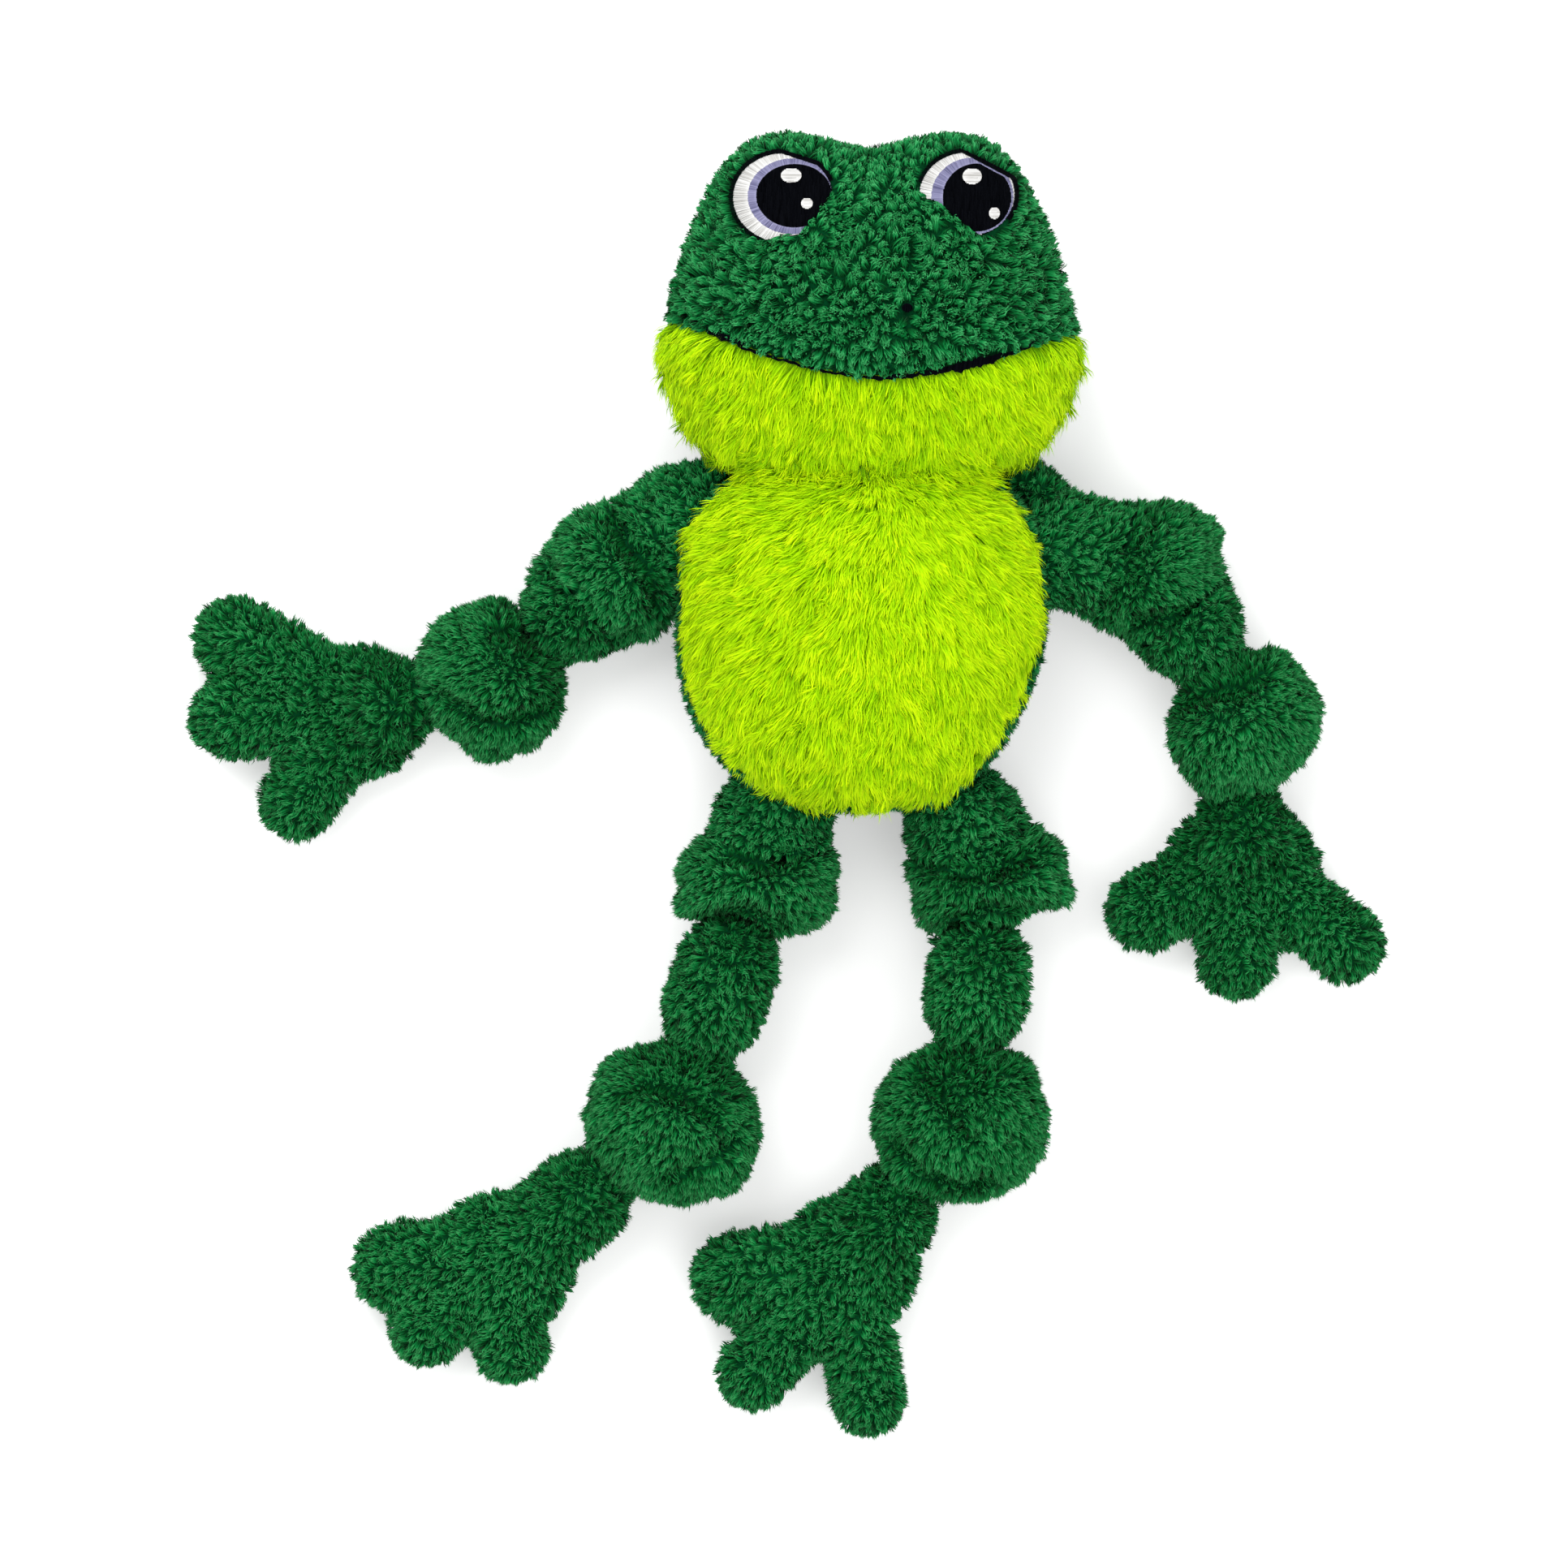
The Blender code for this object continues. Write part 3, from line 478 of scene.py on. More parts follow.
def egg_points(egg, units, inset):
    """Points of a blunt egg that stands along Y, from a unit ball with its poles on Z."""
    upper = (units[:, 2] > 0).astype(int)
    out = np.hypot(units[:, 0], units[:, 1])
    along = np.abs(units[:, 2])
    bluntness = np.array(egg.bluntness)[upper]
    reach = (out**bluntness + along**bluntness) ** (-1 / bluntness)
    girth = out * reach
    rise = along * reach
    ring = np.arctan2(units[:, 1], units[:, 0])
    length = np.array([egg.bottom, egg.top])[upper] - inset
    width = (egg.half_width - inset) * girth * (1 - np.array(egg.taper)[upper] * rise)
    depth = (egg.half_depth - inset) * girth * (1 - np.array(egg.depth_taper)[upper] * rise)
    places = (width * np.cos(ring), np.sign(units[:, 2]) * rise * length, -depth * np.sin(ring))
    return np.stack(places, 1)


def torso_surface(inset):
    units, faces = ball(EGG_DIVISIONS)
    points = egg_points(TORSO, units, inset) + TORSO.centre
    lean = np.exp(-(((points[:, 1] - LEAN_LEVEL) / LEAN_REACH) ** 2))
    points[:, 0] -= TORSO_LEAN * lean * ramp(points[:, 0], *LEAN_ACROSS)
    points[:, 2] = np.maximum(points[:, 2], inset / 2)
    return surface_of(points, faces)


def head_surface(inset):
    units, faces = ball(EGG_DIVISIONS)
    points = egg_points(HEAD, units, inset)
    rise = np.maximum(0.0, points[:, 1] / HEAD.top)
    off_side = (np.abs(points[:, 0]) - EYE_SPACING / 2) / EYE_BUMP_WIDTH
    points[:, 1] += EYE_BUMP_HEIGHT * rise**2 * np.exp(-(off_side**2))
    points += HEAD.centre
    points[:, 2] = np.maximum(points[:, 2], inset / 2)
    return surface_of(points, faces)


def neck_surface(inset):
    units, faces = ball(SMALL_DIVISIONS)
    points = units * (np.array(NECK_HALF_SIZES) - inset) + NECK_CENTRE
    return surface_of(points, faces)


def mouth_level(x):
    """How far up the frog the mouth's line is, at places across."""
    across = x - HEAD.centre[0]
    sag = MOUTH_SAG * (1 - np.abs(across / MOUTH_HALF_WIDTH) ** MOUTH_CURVE)
    return HEAD.centre[1] + MOUTH_CORNER_RISE - sag - across * MOUTH_SLANT


def mouth_thickness(x):
    """Half the thickness of the mouth's line, a little uneven, at places across."""
    place = x / PIXEL + ORIGIN_PIXEL[0]
    wave = 0.16 * np.sin(place * 0.31) + 0.12 * np.sin(place * 0.83 + 1.0)
    return PIXEL * np.interp(place, MOUTH_PLACES, MOUTH_HALF_THICKNESSES) * (1 + wave)


def part_of(surface, inside):
    """The faces of a surface whose middles are inside, with only their own points."""
    faces = surface.faces[inside]
    used, turned = np.unique(faces, return_inverse=True)
    return Surface(surface.points[used], turned.reshape(-1, 3), surface.normals[used])


def middles(surface):
    return surface.points[surface.faces].mean(axis=1)


def shell(surface, thickness):
    """Closed cloth of some thickness with the surface on its outside."""
    count = len(surface.points)
    inner = surface.points - surface.normals * thickness
    edges = np.concatenate([surface.faces[:, [0, 1]], surface.faces[:, [1, 2]], surface.faces[:, [2, 0]]])
    key = edges.min(axis=1) * count + edges.max(axis=1)
    _, first, times = np.unique(key, return_index=True, return_counts=True)
    rim = edges[first[times == 1]]
    walls = np.stack([rim[:, 1], rim[:, 0], rim[:, 0] + count, rim[:, 1] + count], 1)
    inwards = surface.faces[:, ::-1] + count
    corners = np.concatenate([surface.faces.ravel(), inwards.ravel(), walls.ravel()])
    sizes = np.concatenate([np.full(2 * len(surface.faces), 3), np.full(len(walls), 4)])
    return np.concatenate([surface.points, inner]), corners, sizes


def arrays_of(mesh):
    mesh.calc_loop_triangles()
    points = np.empty(len(mesh.vertices) * 3)
    mesh.vertices.foreach_get("co", points)
    faces = np.empty(len(mesh.loop_triangles) * 3, np.int32)
    mesh.loop_triangles.foreach_get("vertices", faces)
    return points.reshape(-1, 3), faces.reshape(-1, 3)


INNER_NODES = (
    "torso_stuffing", "neck_stuffing", "head_stuffing", "eye_left", "eye_right", "mouth_line", "nostril"
)
OUTER_NODES = [node for node in frame["nodes"] if node not in INNER_NODES]
TREES = {}


def neighbours(points, reach, own_nodes):
    """Search trees of the outer nodes that are near points, each with the points near its box."""
    for node in OUTER_NODES:
        low, high = (np.array(corner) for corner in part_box(node))
        near = ((points > low - reach) & (points < high + reach)).all(axis=1)
        if node in own_nodes or not near.any():
            continue
        if node not in TREES:
            solid, faces = arrays_of(frame["nodes"][node].data)
            TREES[node] = BVHTree.FromPolygons(solid.tolist(), faces.tolist())
        yield TREES[node], np.flatnonzero(near)


def to_neighbours(node, points):
    """How far points on a node are from the nearest other outer node, up to the meeting reach."""
    distance = np.full(len(points), MEETING_REACH)
    for tree, near in neighbours(points, MEETING_REACH, (node,)):
        for index in near:
            found = tree.find_nearest(points[index], MEETING_REACH)[3]
            if found is not None:
                distance[index] = min(distance[index], found)
    return distance


def folded(node, points):
    """How deep points lie in a knot's folds, from 0 to 1, and the level way away from the nearest fold."""
    seen = seen_at(points)
    nearest_fold = np.full(len(points), 1.0)
    away = np.zeros((len(points), 3))
    for fold in FOLDS.get(node, ()):
        spots = [np.array(in_picture(*spot)) for spot in fold]
        for first, second in zip(spots, spots[1:]):
            along = second - first
            share = np.clip((seen - first) @ along / (along @ along), 0.0, 1.0)
            step = seen - first - share[:, None] * along
            distance = np.linalg.norm(step, axis=1)
            nearer = distance < nearest_fold
            nearest_fold[nearer] = distance[nearer]
            away[nearer, :2] = step[nearer]
    middle = middle_of(node)[2]
    on_top = ramp(points[:, 2], middle, middle + FOLD_TOP)
    return on_top * np.exp(-((nearest_fold / FOLD_WIDTH) ** 2)), unit_rows(away)


def limb_surface(node, inset):
    """The node's solid as soft cloth: remeshed, smoothed and drawn in by the depth of the pile."""
    source = bpy.data.objects.new(f"{node}_soft", frame["nodes"][node].data.copy())
    bpy.context.scene.collection.objects.link(source)
    remesh = source.modifiers.new("remesh", "REMESH")
    remesh.mode = "VOXEL"
    remesh.voxel_size = CLOTH_VOXEL
    smooth = source.modifiers.new("smooth", "SMOOTH")
    smooth.factor = 0.5
    smooth.iterations = SMOOTHING_ROUNDS
    bpy.context.view_layer.update()
    soft = source.evaluated_get(bpy.context.evaluated_depsgraph_get())
    points, faces = arrays_of(soft.to_mesh())
    soft.to_mesh_clear()
    bpy.data.objects.remove(source, do_unlink=True)
    hollow = folded(node, points)[0]
    depth = inset * smooth_step(to_neighbours(node, points) / MEETING_REACH) + FOLD_DEPTH * hollow
    points = points - normals_of(points, faces) * depth[:, None]
    return Surface(points, faces, normals_of(points, faces), hollow)


# What grows on a surface

def scatter(surface, density, rng):
    """Roots spread evenly over a surface, with its normals."""
    corners = surface.points[surface.faces]
    across = np.cross(corners[:, 1] - corners[:, 0], corners[:, 2] - corners[:, 0])
    area = np.cumsum(np.linalg.norm(across, axis=1) / 2)
    count = int(area[-1] * density)
    face = np.searchsorted(area, (np.arange(count) + rng.random(count)) / count * area[-1])
    face = np.minimum(face, len(area) - 1)
    shares = rng.random((count, 2))
    beyond = shares.sum(axis=1) > 1
    shares[beyond] = 1 - shares[beyond]
    weights = np.column_stack([1 - shares.sum(axis=1), shares])
    roots = np.einsum("nc,nca->na", weights, corners[face])
    normals = np.einsum("nc,nca->na", weights, surface.normals[surface.faces[face]])
    hollow = np.zeros(count)
    if surface.hollow is not None:
        hollow = np.einsum("nc,nc->n", weights, surface.hollow[surface.faces[face]])
    return roots, unit_rows(normals), hollow


def nearest(points, centres):
    """The number of the centre that is nearest to each point."""
    tree = KDTree(len(centres))
    for index, centre in enumerate(centres):
        tree.insert(centre, index)
    tree.balance()
    return np.array([tree.find(point)[1] for point in points])


# The area of one clump among many that lie one unit apart
HEXAGON_AREA = 0.87


def gather(roots, area, spacing, rng):
    """Middles of clumps of about one size, and the clump that each root belongs to."""
    count = max(4, int(area / (HEXAGON_AREA * spacing**2)))
    centres = roots[rng.choice(len(roots), min(count, len(roots)), replace=False)]
    sample = roots[::3]
    owner = nearest(sample, centres)
    members = np.bincount(owner, minlength=len(centres))
    sums = np.stack([np.bincount(owner, sample[:, axis], len(centres)) for axis in range(3)], 1)
    centres = np.where(members[:, None] > 0, sums / np.maximum(members, 1)[:, None], centres)
    return centres, nearest(roots, centres)


def turn(vectors, axes, angles):
    """Vectors turned about axes."""
    cosine = np.cos(angles)[:, None]
    sine = np.sin(angles)[:, None]
    along = np.einsum("na,na->n", axes, vectors)[:, None]
    return vectors * cosine + np.cross(axes, vectors) * sine + axes * along * (1 - cosine)


def fibres(roots, normals, hollow, area, pile, room, flow, tone, rng):
    """Points, faces, map places and shading normals of flat fibres, each a strip that ends in a point."""
    centres, owner = gather(roots, area, pile.clump, rng)
    clumps = len(centres)
    count = len(roots)
    members = np.maximum(np.bincount(owner, minlength=clumps), 1)
    sums = np.stack([np.bincount(owner, normals[:, axis], clumps) for axis in range(3)], 1)
    up = unit_rows(sums / members[:, None] + 1e-9)
    drift = flow(centres)
    strength = np.linalg.norm(drift, axis=1, keepdims=True)
    drift -= up * np.einsum("na,na->n", drift, up)[:, None]
    level_part = np.linalg.norm(drift, axis=1, keepdims=True)
    drift = strength * drift / np.maximum(level_part, 0.2 * strength + 1e-9)
    lean = pile.lean * (1 + LEAN_SPREAD * rng.normal(size=clumps))
    heading = unit_rows(up + lean[:, None] * drift + pile.stray * rng.normal(size=(clumps, 3)))
    clump_length = pile.length * np.clip(1 + CLUMP_LENGTH_SPREAD * rng.normal(size=clumps), *CLUMP_LENGTHS)
    clump_tone = tone(centres) + pile.mottle * rng.normal(size=clumps)
    # Painted shade: the clumps in a fold are darker
    clump_tone -= FOLD_SHADE * np.bincount(owner, hollow, clumps) / members
    least, extra = CLUMP_TWISTS
    twist = pile.twist * (least + extra * rng.random(clumps)) * rng.choice((-1.0, 1.0), clumps)

    least, extra = FIBRE_LENGTHS
    length = (clump_length[owner] * (least + extra * rng.random(count)) * room)[:, None]
    ahead = unit_rows(heading[owner] + pile.frizz * rng.normal(size=(count, 3)))
    offset = roots - centres[owner]
    outwards = pile.round * offset / pile.clump * 1.6
    facing = unit_rows(normals + outwards + FACING_SPREAD * rng.normal(size=(count, 3)))
    spots = []
    last = pile.levels - 1
    for level in range(pile.levels):
        share = level / last
        drawn = 1 - pile.pull * share**pile.pull_power
        turned = turn(offset, heading[owner], twist[owner] * share)
        arc = normals * (pile.lift * share * (1 - share) - pile.droop * share * share)
        spine = (share - pile.hook * share**3) * ahead + arc
        loose = pile.curl * min(1.0, 2 * share) * rng.normal(size=(count, 3)) if level else 0.0
        spots.append(centres[owner] + length * spine + turned * drawn + loose)

    tones = np.clip(clump_tone[owner] + FIBRE_TONE_SPREAD * rng.normal(size=count), *TONE_LIMITS)
    points, places, shades = [], [], []
    least, extra = FIBRE_WIDTHS
    width = pile.width * (least + extra * rng.random(count))[:, None]
    for level, spot in enumerate(spots):
        share = level / last
        step = spots[min(level + 1, last)] - spots[max(level - 1, 0)]
        side = unit_rows(np.cross(step, facing)) * width * (0.5 if level else 0.4)
        for sign in (-1, 1) if level < last else (0,):
            points.append(spot + sign * side)
            places.append(np.column_stack([tones + sign * TONE_ACROSS_FIBRE, np.full(count, share)]))
            shades.append(unit_rows(facing + 0.6 * share * heading[owner]))
    each = len(points)
    points = np.stack(points, 1).reshape(-1, 3)
    points[:, 2] = np.maximum(points[:, 2], FLOOR_CLEARANCE)
    quads = pile.levels - 2
    pattern = [[2 * k, 2 * k + 1, 2 * k + 3, 2 * k + 2] for k in range(quads)]
    pattern = np.array(sum(pattern, []) + [2 * quads, 2 * quads + 1, 2 * quads + 2])
    corners = (np.arange(count)[:, None] * each + pattern).ravel()
    sizes = np.tile([4] * quads + [3], count)
    places = np.stack(places, 1).reshape(-1, 2)
    return points, corners, sizes, places, np.stack(shades, 1).reshape(-1, 3)


def room_at(roots, normals, own_nodes):
    """How far each root is from the next piece in front of it, up to the reach of the pile."""
    room = np.full(len(roots), REACH_OF_NEIGHBOUR)
    for tree, near in neighbours(roots, REACH_OF_NEIGHBOUR, own_nodes):
        for index in near:
            distance = tree.ray_cast(roots[index], normals[index], REACH_OF_NEIGHBOUR)[3]
            if distance is not None:
                room[index] = min(room[index], distance)
    return room


def grow(name, surface, pile, material, flow, tone, own_nodes, keep=None, size=None):
    """The pile of one piece, as one object."""
    rng = seeded(name)
    roots, normals, hollow = scatter(surface, pile.density, rng)
    kept = roots[:, 2] > FLOOR_CLEARANCE
    under = (normals[:, 2] < UNDERSIDE_NORMAL) & (roots[:, 2] < HEAD.centre[2])
    kept &= ~under | (rng.random(len(roots)) < UNDERSIDE_SHARE)
    if keep is not None:
        kept &= keep(roots)
    roots, normals, hollow = roots[kept], normals[kept], hollow[kept]
    room = room_at(roots, normals, own_nodes)
    kept = room > LEAST_ROOM
    roots, normals, hollow, room = roots[kept], normals[kept], hollow[kept], room[kept]
    area = len(roots) / pile.density
    share = np.maximum(CROWDED_SHARE, room / REACH_OF_NEIGHBOUR) * (1 - FOLD_SHORTENING * hollow)
    if size is not None:
        share = share * size(roots)
    grown = fibres(roots, normals, hollow, area, pile, share, flow, tone, rng)
    points, corners, sizes, places, shades = grown
    item = new_item(name, points, corners, sizes, [material])
    set_map(item, places)
    item.data.normals_split_custom_set_from_vertices(shades)
    return item


def new_cloth(name, surface, material):
    points, corners, sizes = shell(surface, CLOTH_THICKNESS)
    return new_item(name, points, corners, sizes, [material])


# Flows: which way the pile is brushed at a point, and how strongly

# Waves of tone and brushing: how fast each rises across and along the frog, its phase and its size
WAVES = ((210, 95, 0.0, 1.0), (-130, 240, 1.3, 1.0), (380, 310, 2.1, 0.6))
# Next to the source of a flow the pile is hardly brushed, and is darker with painted shade, as in a tuck;
# away from it the tone rises to a painted sheen of the combed pile
FLOW_AT_SOURCE = 0.15
SHADED_TONE_AT_SOURCE = 0.28
SHEEN_TONE_RISE = 0.42


def slow_waves(points):
    """Uneven waves, a few centimetres long, that lie over the whole frog."""
    x, y = points[:, 0], points[:, 1]
    return sum(size * np.sin(x * across + y * along + phase) for across, along, phase, size in WAVES) / 2


def plain_tone(points):
    return 0.5 + TONE_WAVES * slow_waves(points)


def flow_from(source, near, far):
    """Brushed away from a point, hardly at all next to it and fully beyond the far distance."""
    def flow(points):
        away = points - source
        beyond = ramp(np.linalg.norm(away, axis=1), near, far)
        return unit_rows(away) * (FLOW_AT_SOURCE + (1 - FLOW_AT_SOURCE) * beyond)[:, None]

    # Painted shade next to the source, rising to a painted sheen of the combed pile further away
    def tone(points):
        beyond = ramp(np.linalg.norm(points - source, axis=1), near, far)
        return SHADED_TONE_AT_SOURCE + SHEEN_TONE_RISE * beyond + TONE_WAVES * slow_waves(points)

    return flow, tone


def wander(flow, points, most):
    """A flow turned to and fro about Z in slow waves, as a hand leaves brushed pile."""
    axes = np.tile((0.0, 0.0, 1.0), (len(points), 1))
    return turn(flow, axes, most * slow_waves(points))


def fanned(points, middle, half_width, spread, along):
    """Brushed outwards from a middle line, and along the frog."""
    flow = np.zeros_like(points)
    flow[:, 0] = (points[:, 0] - middle) / half_width * spread
    flow[:, 1] = along
    return flow


def ride_all(body, *pairs):
    """Pieces that move with a body; the material slot given with each is not used."""
    for item, slot in pairs:
        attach(item, body)


BODY_OF = {
    node: body
    for body, nodes in frame["record"]["behaviour"]["bodies"].items()
    for node in nodes
}


# Torso

# The belly's pile parts at one spot, and is brushed away from it and towards the feet
BELLY_PARTING = (0.010, 0.040)
BELLY_FLOW_REACH = 0.07
BELLY_OUTWARDS = 1.25
BELLY_ALONG = 0.8
BELLY_TO_FEET = 0.5
BELLY_WANDER = 0.45
# It is shorter within some height of its seam, but for the lower end and the left shoulder
BELLY_RIM = 0.0120
BELLY_RIM_SHARE = 0.66
BELLY_END = (-0.045, -0.055)
LEFT_SHOULDER_ALONG = (0.025, 0.045)
LEFT_SHOULDER_ACROSS = (0.0, -0.030)
# The seam between belly and back is higher at the hips
HIP_SEAM_RISE = 0.0022
HIPS_ALONG = (0.010, -0.030)
HIPS_ACROSS = (0.035, 0.055)
# The back's pile is brushed away from this point inside the torso
BACK_PARTING = (0.0, 0.04, 0.045)
BACK_STRENGTH = 0.8


def belly_seam(points):
    at_hips = ramp(points[:, 1], *HIPS_ALONG) * ramp(np.abs(points[:, 0]), *HIPS_ACROSS)
    return BELLY_SEAM + HIP_SEAM_RISE * at_hips


def build_torso():
    green = torso_surface(FLEECE_INSET)
    lime = torso_surface(LIME_INSET)
    behind = part_of(green, middles(green)[:, 2] < belly_seam(middles(green)))
    front = part_of(lime, middles(lime)[:, 2] >= belly_seam(middles(lime)))
    back_cloth = new_cloth("torso_back_cloth", behind, GREEN_CLOTH)
    belly_cloth = new_cloth("belly_panel_cloth", front, LIME_CLOTH)

    def belly_flow(points):
        across = (points[:, 0] - BELLY_PARTING[0]) / BELLY_FLOW_REACH
        along = (points[:, 1] - BELLY_PARTING[1]) / BELLY_FLOW_REACH
        level = np.zeros(len(points))
        flow = np.stack([BELLY_OUTWARDS * across, BELLY_ALONG * along - BELLY_TO_FEET, level], 1)
        return wander(unit_rows(flow), points, BELLY_WANDER)

    def belly_size(roots):
        from_rim = ramp(roots[:, 2] - belly_seam(roots), 0.0, BELLY_RIM)
        at_end = ramp(roots[:, 1], *BELLY_END)
        at_shoulder = ramp(roots[:, 1], *LEFT_SHOULDER_ALONG) * ramp(roots[:, 0], *LEFT_SHOULDER_ACROSS)
        fullness = np.maximum(from_rim, 0.8 * np.maximum(at_end, at_shoulder))
        return BELLY_RIM_SHARE + (1 - BELLY_RIM_SHARE) * fullness

    def back_flow(points):
        return unit_rows(points - BACK_PARTING) * BACK_STRENGTH

    own = ("torso_back", "belly_panel")
    back_pile = grow("torso_back_pile", behind, FINE, LIMB_PILE, back_flow, plain_tone, own)
    belly_pile = grow(
        "belly_panel_pile", front, LONG, LIME_PILE, belly_flow, plain_tone, own, size=belly_size
    )
    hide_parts("torso_back", "torso_stuffing")
    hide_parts("belly_panel")
    ride_all(
        "torso",
        (back_cloth, "limb_fleece"), (belly_cloth, "lime_pile"),
        (back_pile, "limb_fleece"), (belly_pile, "lime_pile"),
    )


# Neck

# The neck's pile fills the crease under the chin, so these don't count as in its way
NECK_NODES = ("torso_back", "belly_panel", "head_crown", "chin_panel")
NECK_PILE_REACH = 0.044


def build_neck():
    whole = neck_surface(LIME_INSET)
    height = middles(whole)[:, 2]
    front = part_of(whole, height >= BELLY_SEAM)
    behind = part_of(whole, height < BELLY_SEAM)

    def flow(points):
        brushed = fanned(points, NECK_CENTRE[0], NECK_HALF_SIZES[0], 1.3, -0.8)
        return wander(unit_rows(brushed), points, 0.4)

    def keep(roots):
        return np.abs(roots[:, 0] - NECK_CENTRE[0]) < NECK_PILE_REACH

    front_cloth = new_cloth("neck_front_cloth", front, LIME_CLOTH)
    front_pile = grow("neck_front_pile", front, NECK_LONG, LIME_PILE, flow, plain_tone, NECK_NODES, keep)
    back_cloth = new_cloth("neck_back_cloth", behind, GREEN_CLOTH)
    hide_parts("neck_stuffing")
    for item, slot in (
        (front_cloth, "lime_pile"), (front_pile, "lime_pile"), (back_cloth, "limb_fleece"),
    ):
        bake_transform(item)


# Head

# Each eye, in pixels: its outline, its coloured ring and its pupil are ellipses, and a lid cuts its top
# The fleece's edge is where the curls grow over it, from left to right
# A black rim is outlined between two angles, in degrees
Eye = namedtuple("Eye", "outline ring pupil lid fleece_edge glints outlined")
EYES = {
    "left": Eye(
        outline=((965.6, 244.8), (61.2, 54.7)),
        ring=((977.0, 243.0), (54.0, 46.0)),
        pupil=((979.5, 242.3), (46.5, 38.8)),
        lid=((969.4, 192.0), (1018.2, 208.0)),
        fleece_edge=((900, 300), (925, 296), (937, 294), (985, 286), (1008, 262), (1024, 235), (1030, 226)),
        glints=(((976, 218), (12.5, 8.5)), ((995, 252), (7.0, 6.5))),
        outlined=(22, 232),
    ),
    "right": Eye(
        outline=((1190.6, 241.0), (58.2, 51.7)),
        ring=((1197.0, 243.0), (49.5, 46.7)),
        pupil=((1202.5, 244.5), (41.5, 41.5)),
        lid=((1185.0, 189.5), (1246.0, 222.0)),
        fleece_edge=((1125, 238), (1153, 245), (1180, 268), (1205, 286), (1230, 292), (1255, 300)),
        glints=(((1196, 219), (11.5, 9.5)), ((1223, 264), (6.5, 7.0))),
        outlined=(-35, 165),
    ),
}
FLEECE_OVERLAP = 3.0
NOSTRIL = ((1117, 381), (6.5, 5.0))
# The crown is bare this far beside the eyes, in pixels, and round the nostril, in metres
BARE_EYE_MARGIN = 4.2
BARE_NOSTRIL_REACH = 0.0026
# The crown's pile turns towards the chin and away from the eyes, and is shorter at the top, where a
# painted sheen of its smoother, brushed pile makes it lighter
CROWN_TURN = (0.155, 0.105)
EYE_COMB = (0.030, 0.020)
CROWN_TOP = (0.178, 0.143)
CROWN_SHEEN = (0.145, 0.175)
ABOVE_MOUTH_REACH = 0.0050
# What stands for a distance that is never reached, in pixels
FAR_AWAY = 1e3


def to_ellipse(centre, angle, ellipse):
    """How far an ellipse's edge is from a point inside it, at an angle, in pixels."""
    (middle_x, middle_y), (half_x, half_y) = ellipse
    x = (centre[0] - middle_x) / half_x
    y = -(centre[1] - middle_y) / half_y
    step_x = np.cos(angle) / half_x
    step_y = np.sin(angle) / half_y
    a = step_x**2 + step_y**2
    b = x * step_x + y * step_y
    c = x * x + y * y - 1
    return (-b + np.sqrt(np.maximum(b * b - a * c, 0.0))) / a


def to_lid(centre, angle, lid):
    """How far the lid's straight edge is from a point, at an angle, in pixels."""
    (first_x, first_y), (second_x, second_y) = lid
    along = np.array([second_x - first_x, -(second_y - first_y)])
    across = np.array([-along[1], along[0]]) / np.linalg.norm(along)
    distance = (first_x - centre[0]) * across[0] - (first_y - centre[1]) * across[1]
    facing = np.cos(angle) * across[0] + np.sin(angle) * across[1]
    return np.where(facing > 1e-3, distance / np.maximum(facing, 1e-3), FAR_AWAY)


def eye_edge(eye, angle):
    """How far an eye's edge is from its pupil's middle, at an angle, in pixels."""
    centre = eye.pupil[0]
    return np.minimum(to_ellipse(centre, angle, eye.outline), to_lid(centre, angle, eye.lid))


def fleece_level(eye, px):
    """The pixel row at which the curls begin to cover an eye, at places across."""
    edge = np.array(eye.fleece_edge)
    return np.interp(px, edge[:, 0], edge[:, 1])


def to_fleece(eye, angle):
    """How far the pupil's middle is from where the curls cover the eye, at an angle, in pixels."""
    reach = np.linspace(1.0, 80.0, 159)
    px = eye.pupil[0][0] + reach * math.cos(angle)
    py = eye.pupil[0][1] - reach * math.sin(angle)
    covered = py > fleece_level(eye, px) + FLEECE_OVERLAP
    return float(reach[covered][0]) if covered.any() else FAR_AWAY


def inside_eye(eye, seen):
    """Whether the camera sees points within an eye's uncovered part or close beside it."""
    px = seen[:, 0] / PIXEL + ORIGIN_PIXEL[0]
    py = ORIGIN_PIXEL[1] - seen[:, 1] / PIXEL
    centre = eye.pupil[0]
    angle = np.arctan2(-(py - centre[1]), px - centre[0])
    within = np.hypot(px - centre[0], py - centre[1]) < eye_edge(eye, angle) + BARE_EYE_MARGIN
    return within & (py < fleece_level(eye, px))


def is_chin(points):
    return (points[:, 2] > CHIN_SEAM) & (points[:, 1] < mouth_level(points[:, 0]))


def crown_flow(points):
    along = 0.5 - 1.4 * ramp(points[:, 1], *CROWN_TURN)
    flow = fanned(points, HEAD.centre[0], HEAD.half_width, 0.8, along)
    seen = seen_at(points)
    for eye in EYES.values():
        away = seen - in_picture(*eye.pupil[0])
        distance = np.linalg.norm(away, axis=1)
        near = ramp(distance, *EYE_COMB) * (points[:, 2] > HEAD.centre[2])
        flow[:, :2] += 2.2 * near[:, None] * away / np.maximum(distance, 1e-6)[:, None]
    return flow / np.maximum(np.linalg.norm(flow, axis=1), 1.0)[:, None]


def crown_keep(roots):
    """Bare where the eyes, the mouth's line and the nostril are stitched."""
    seen = seen_at(roots)
    stitched = np.linalg.norm(seen - in_picture(*NOSTRIL[0]), axis=1) < BARE_NOSTRIL_REACH
    stitched |= np.abs(roots[:, 1] - mouth_level(roots[:, 0])) < 0.9 * mouth_thickness(roots[:, 0])
    for eye in EYES.values():
        stitched |= inside_eye(eye, seen)
    return ~(stitched & (roots[:, 2] > HEAD.centre[2]))


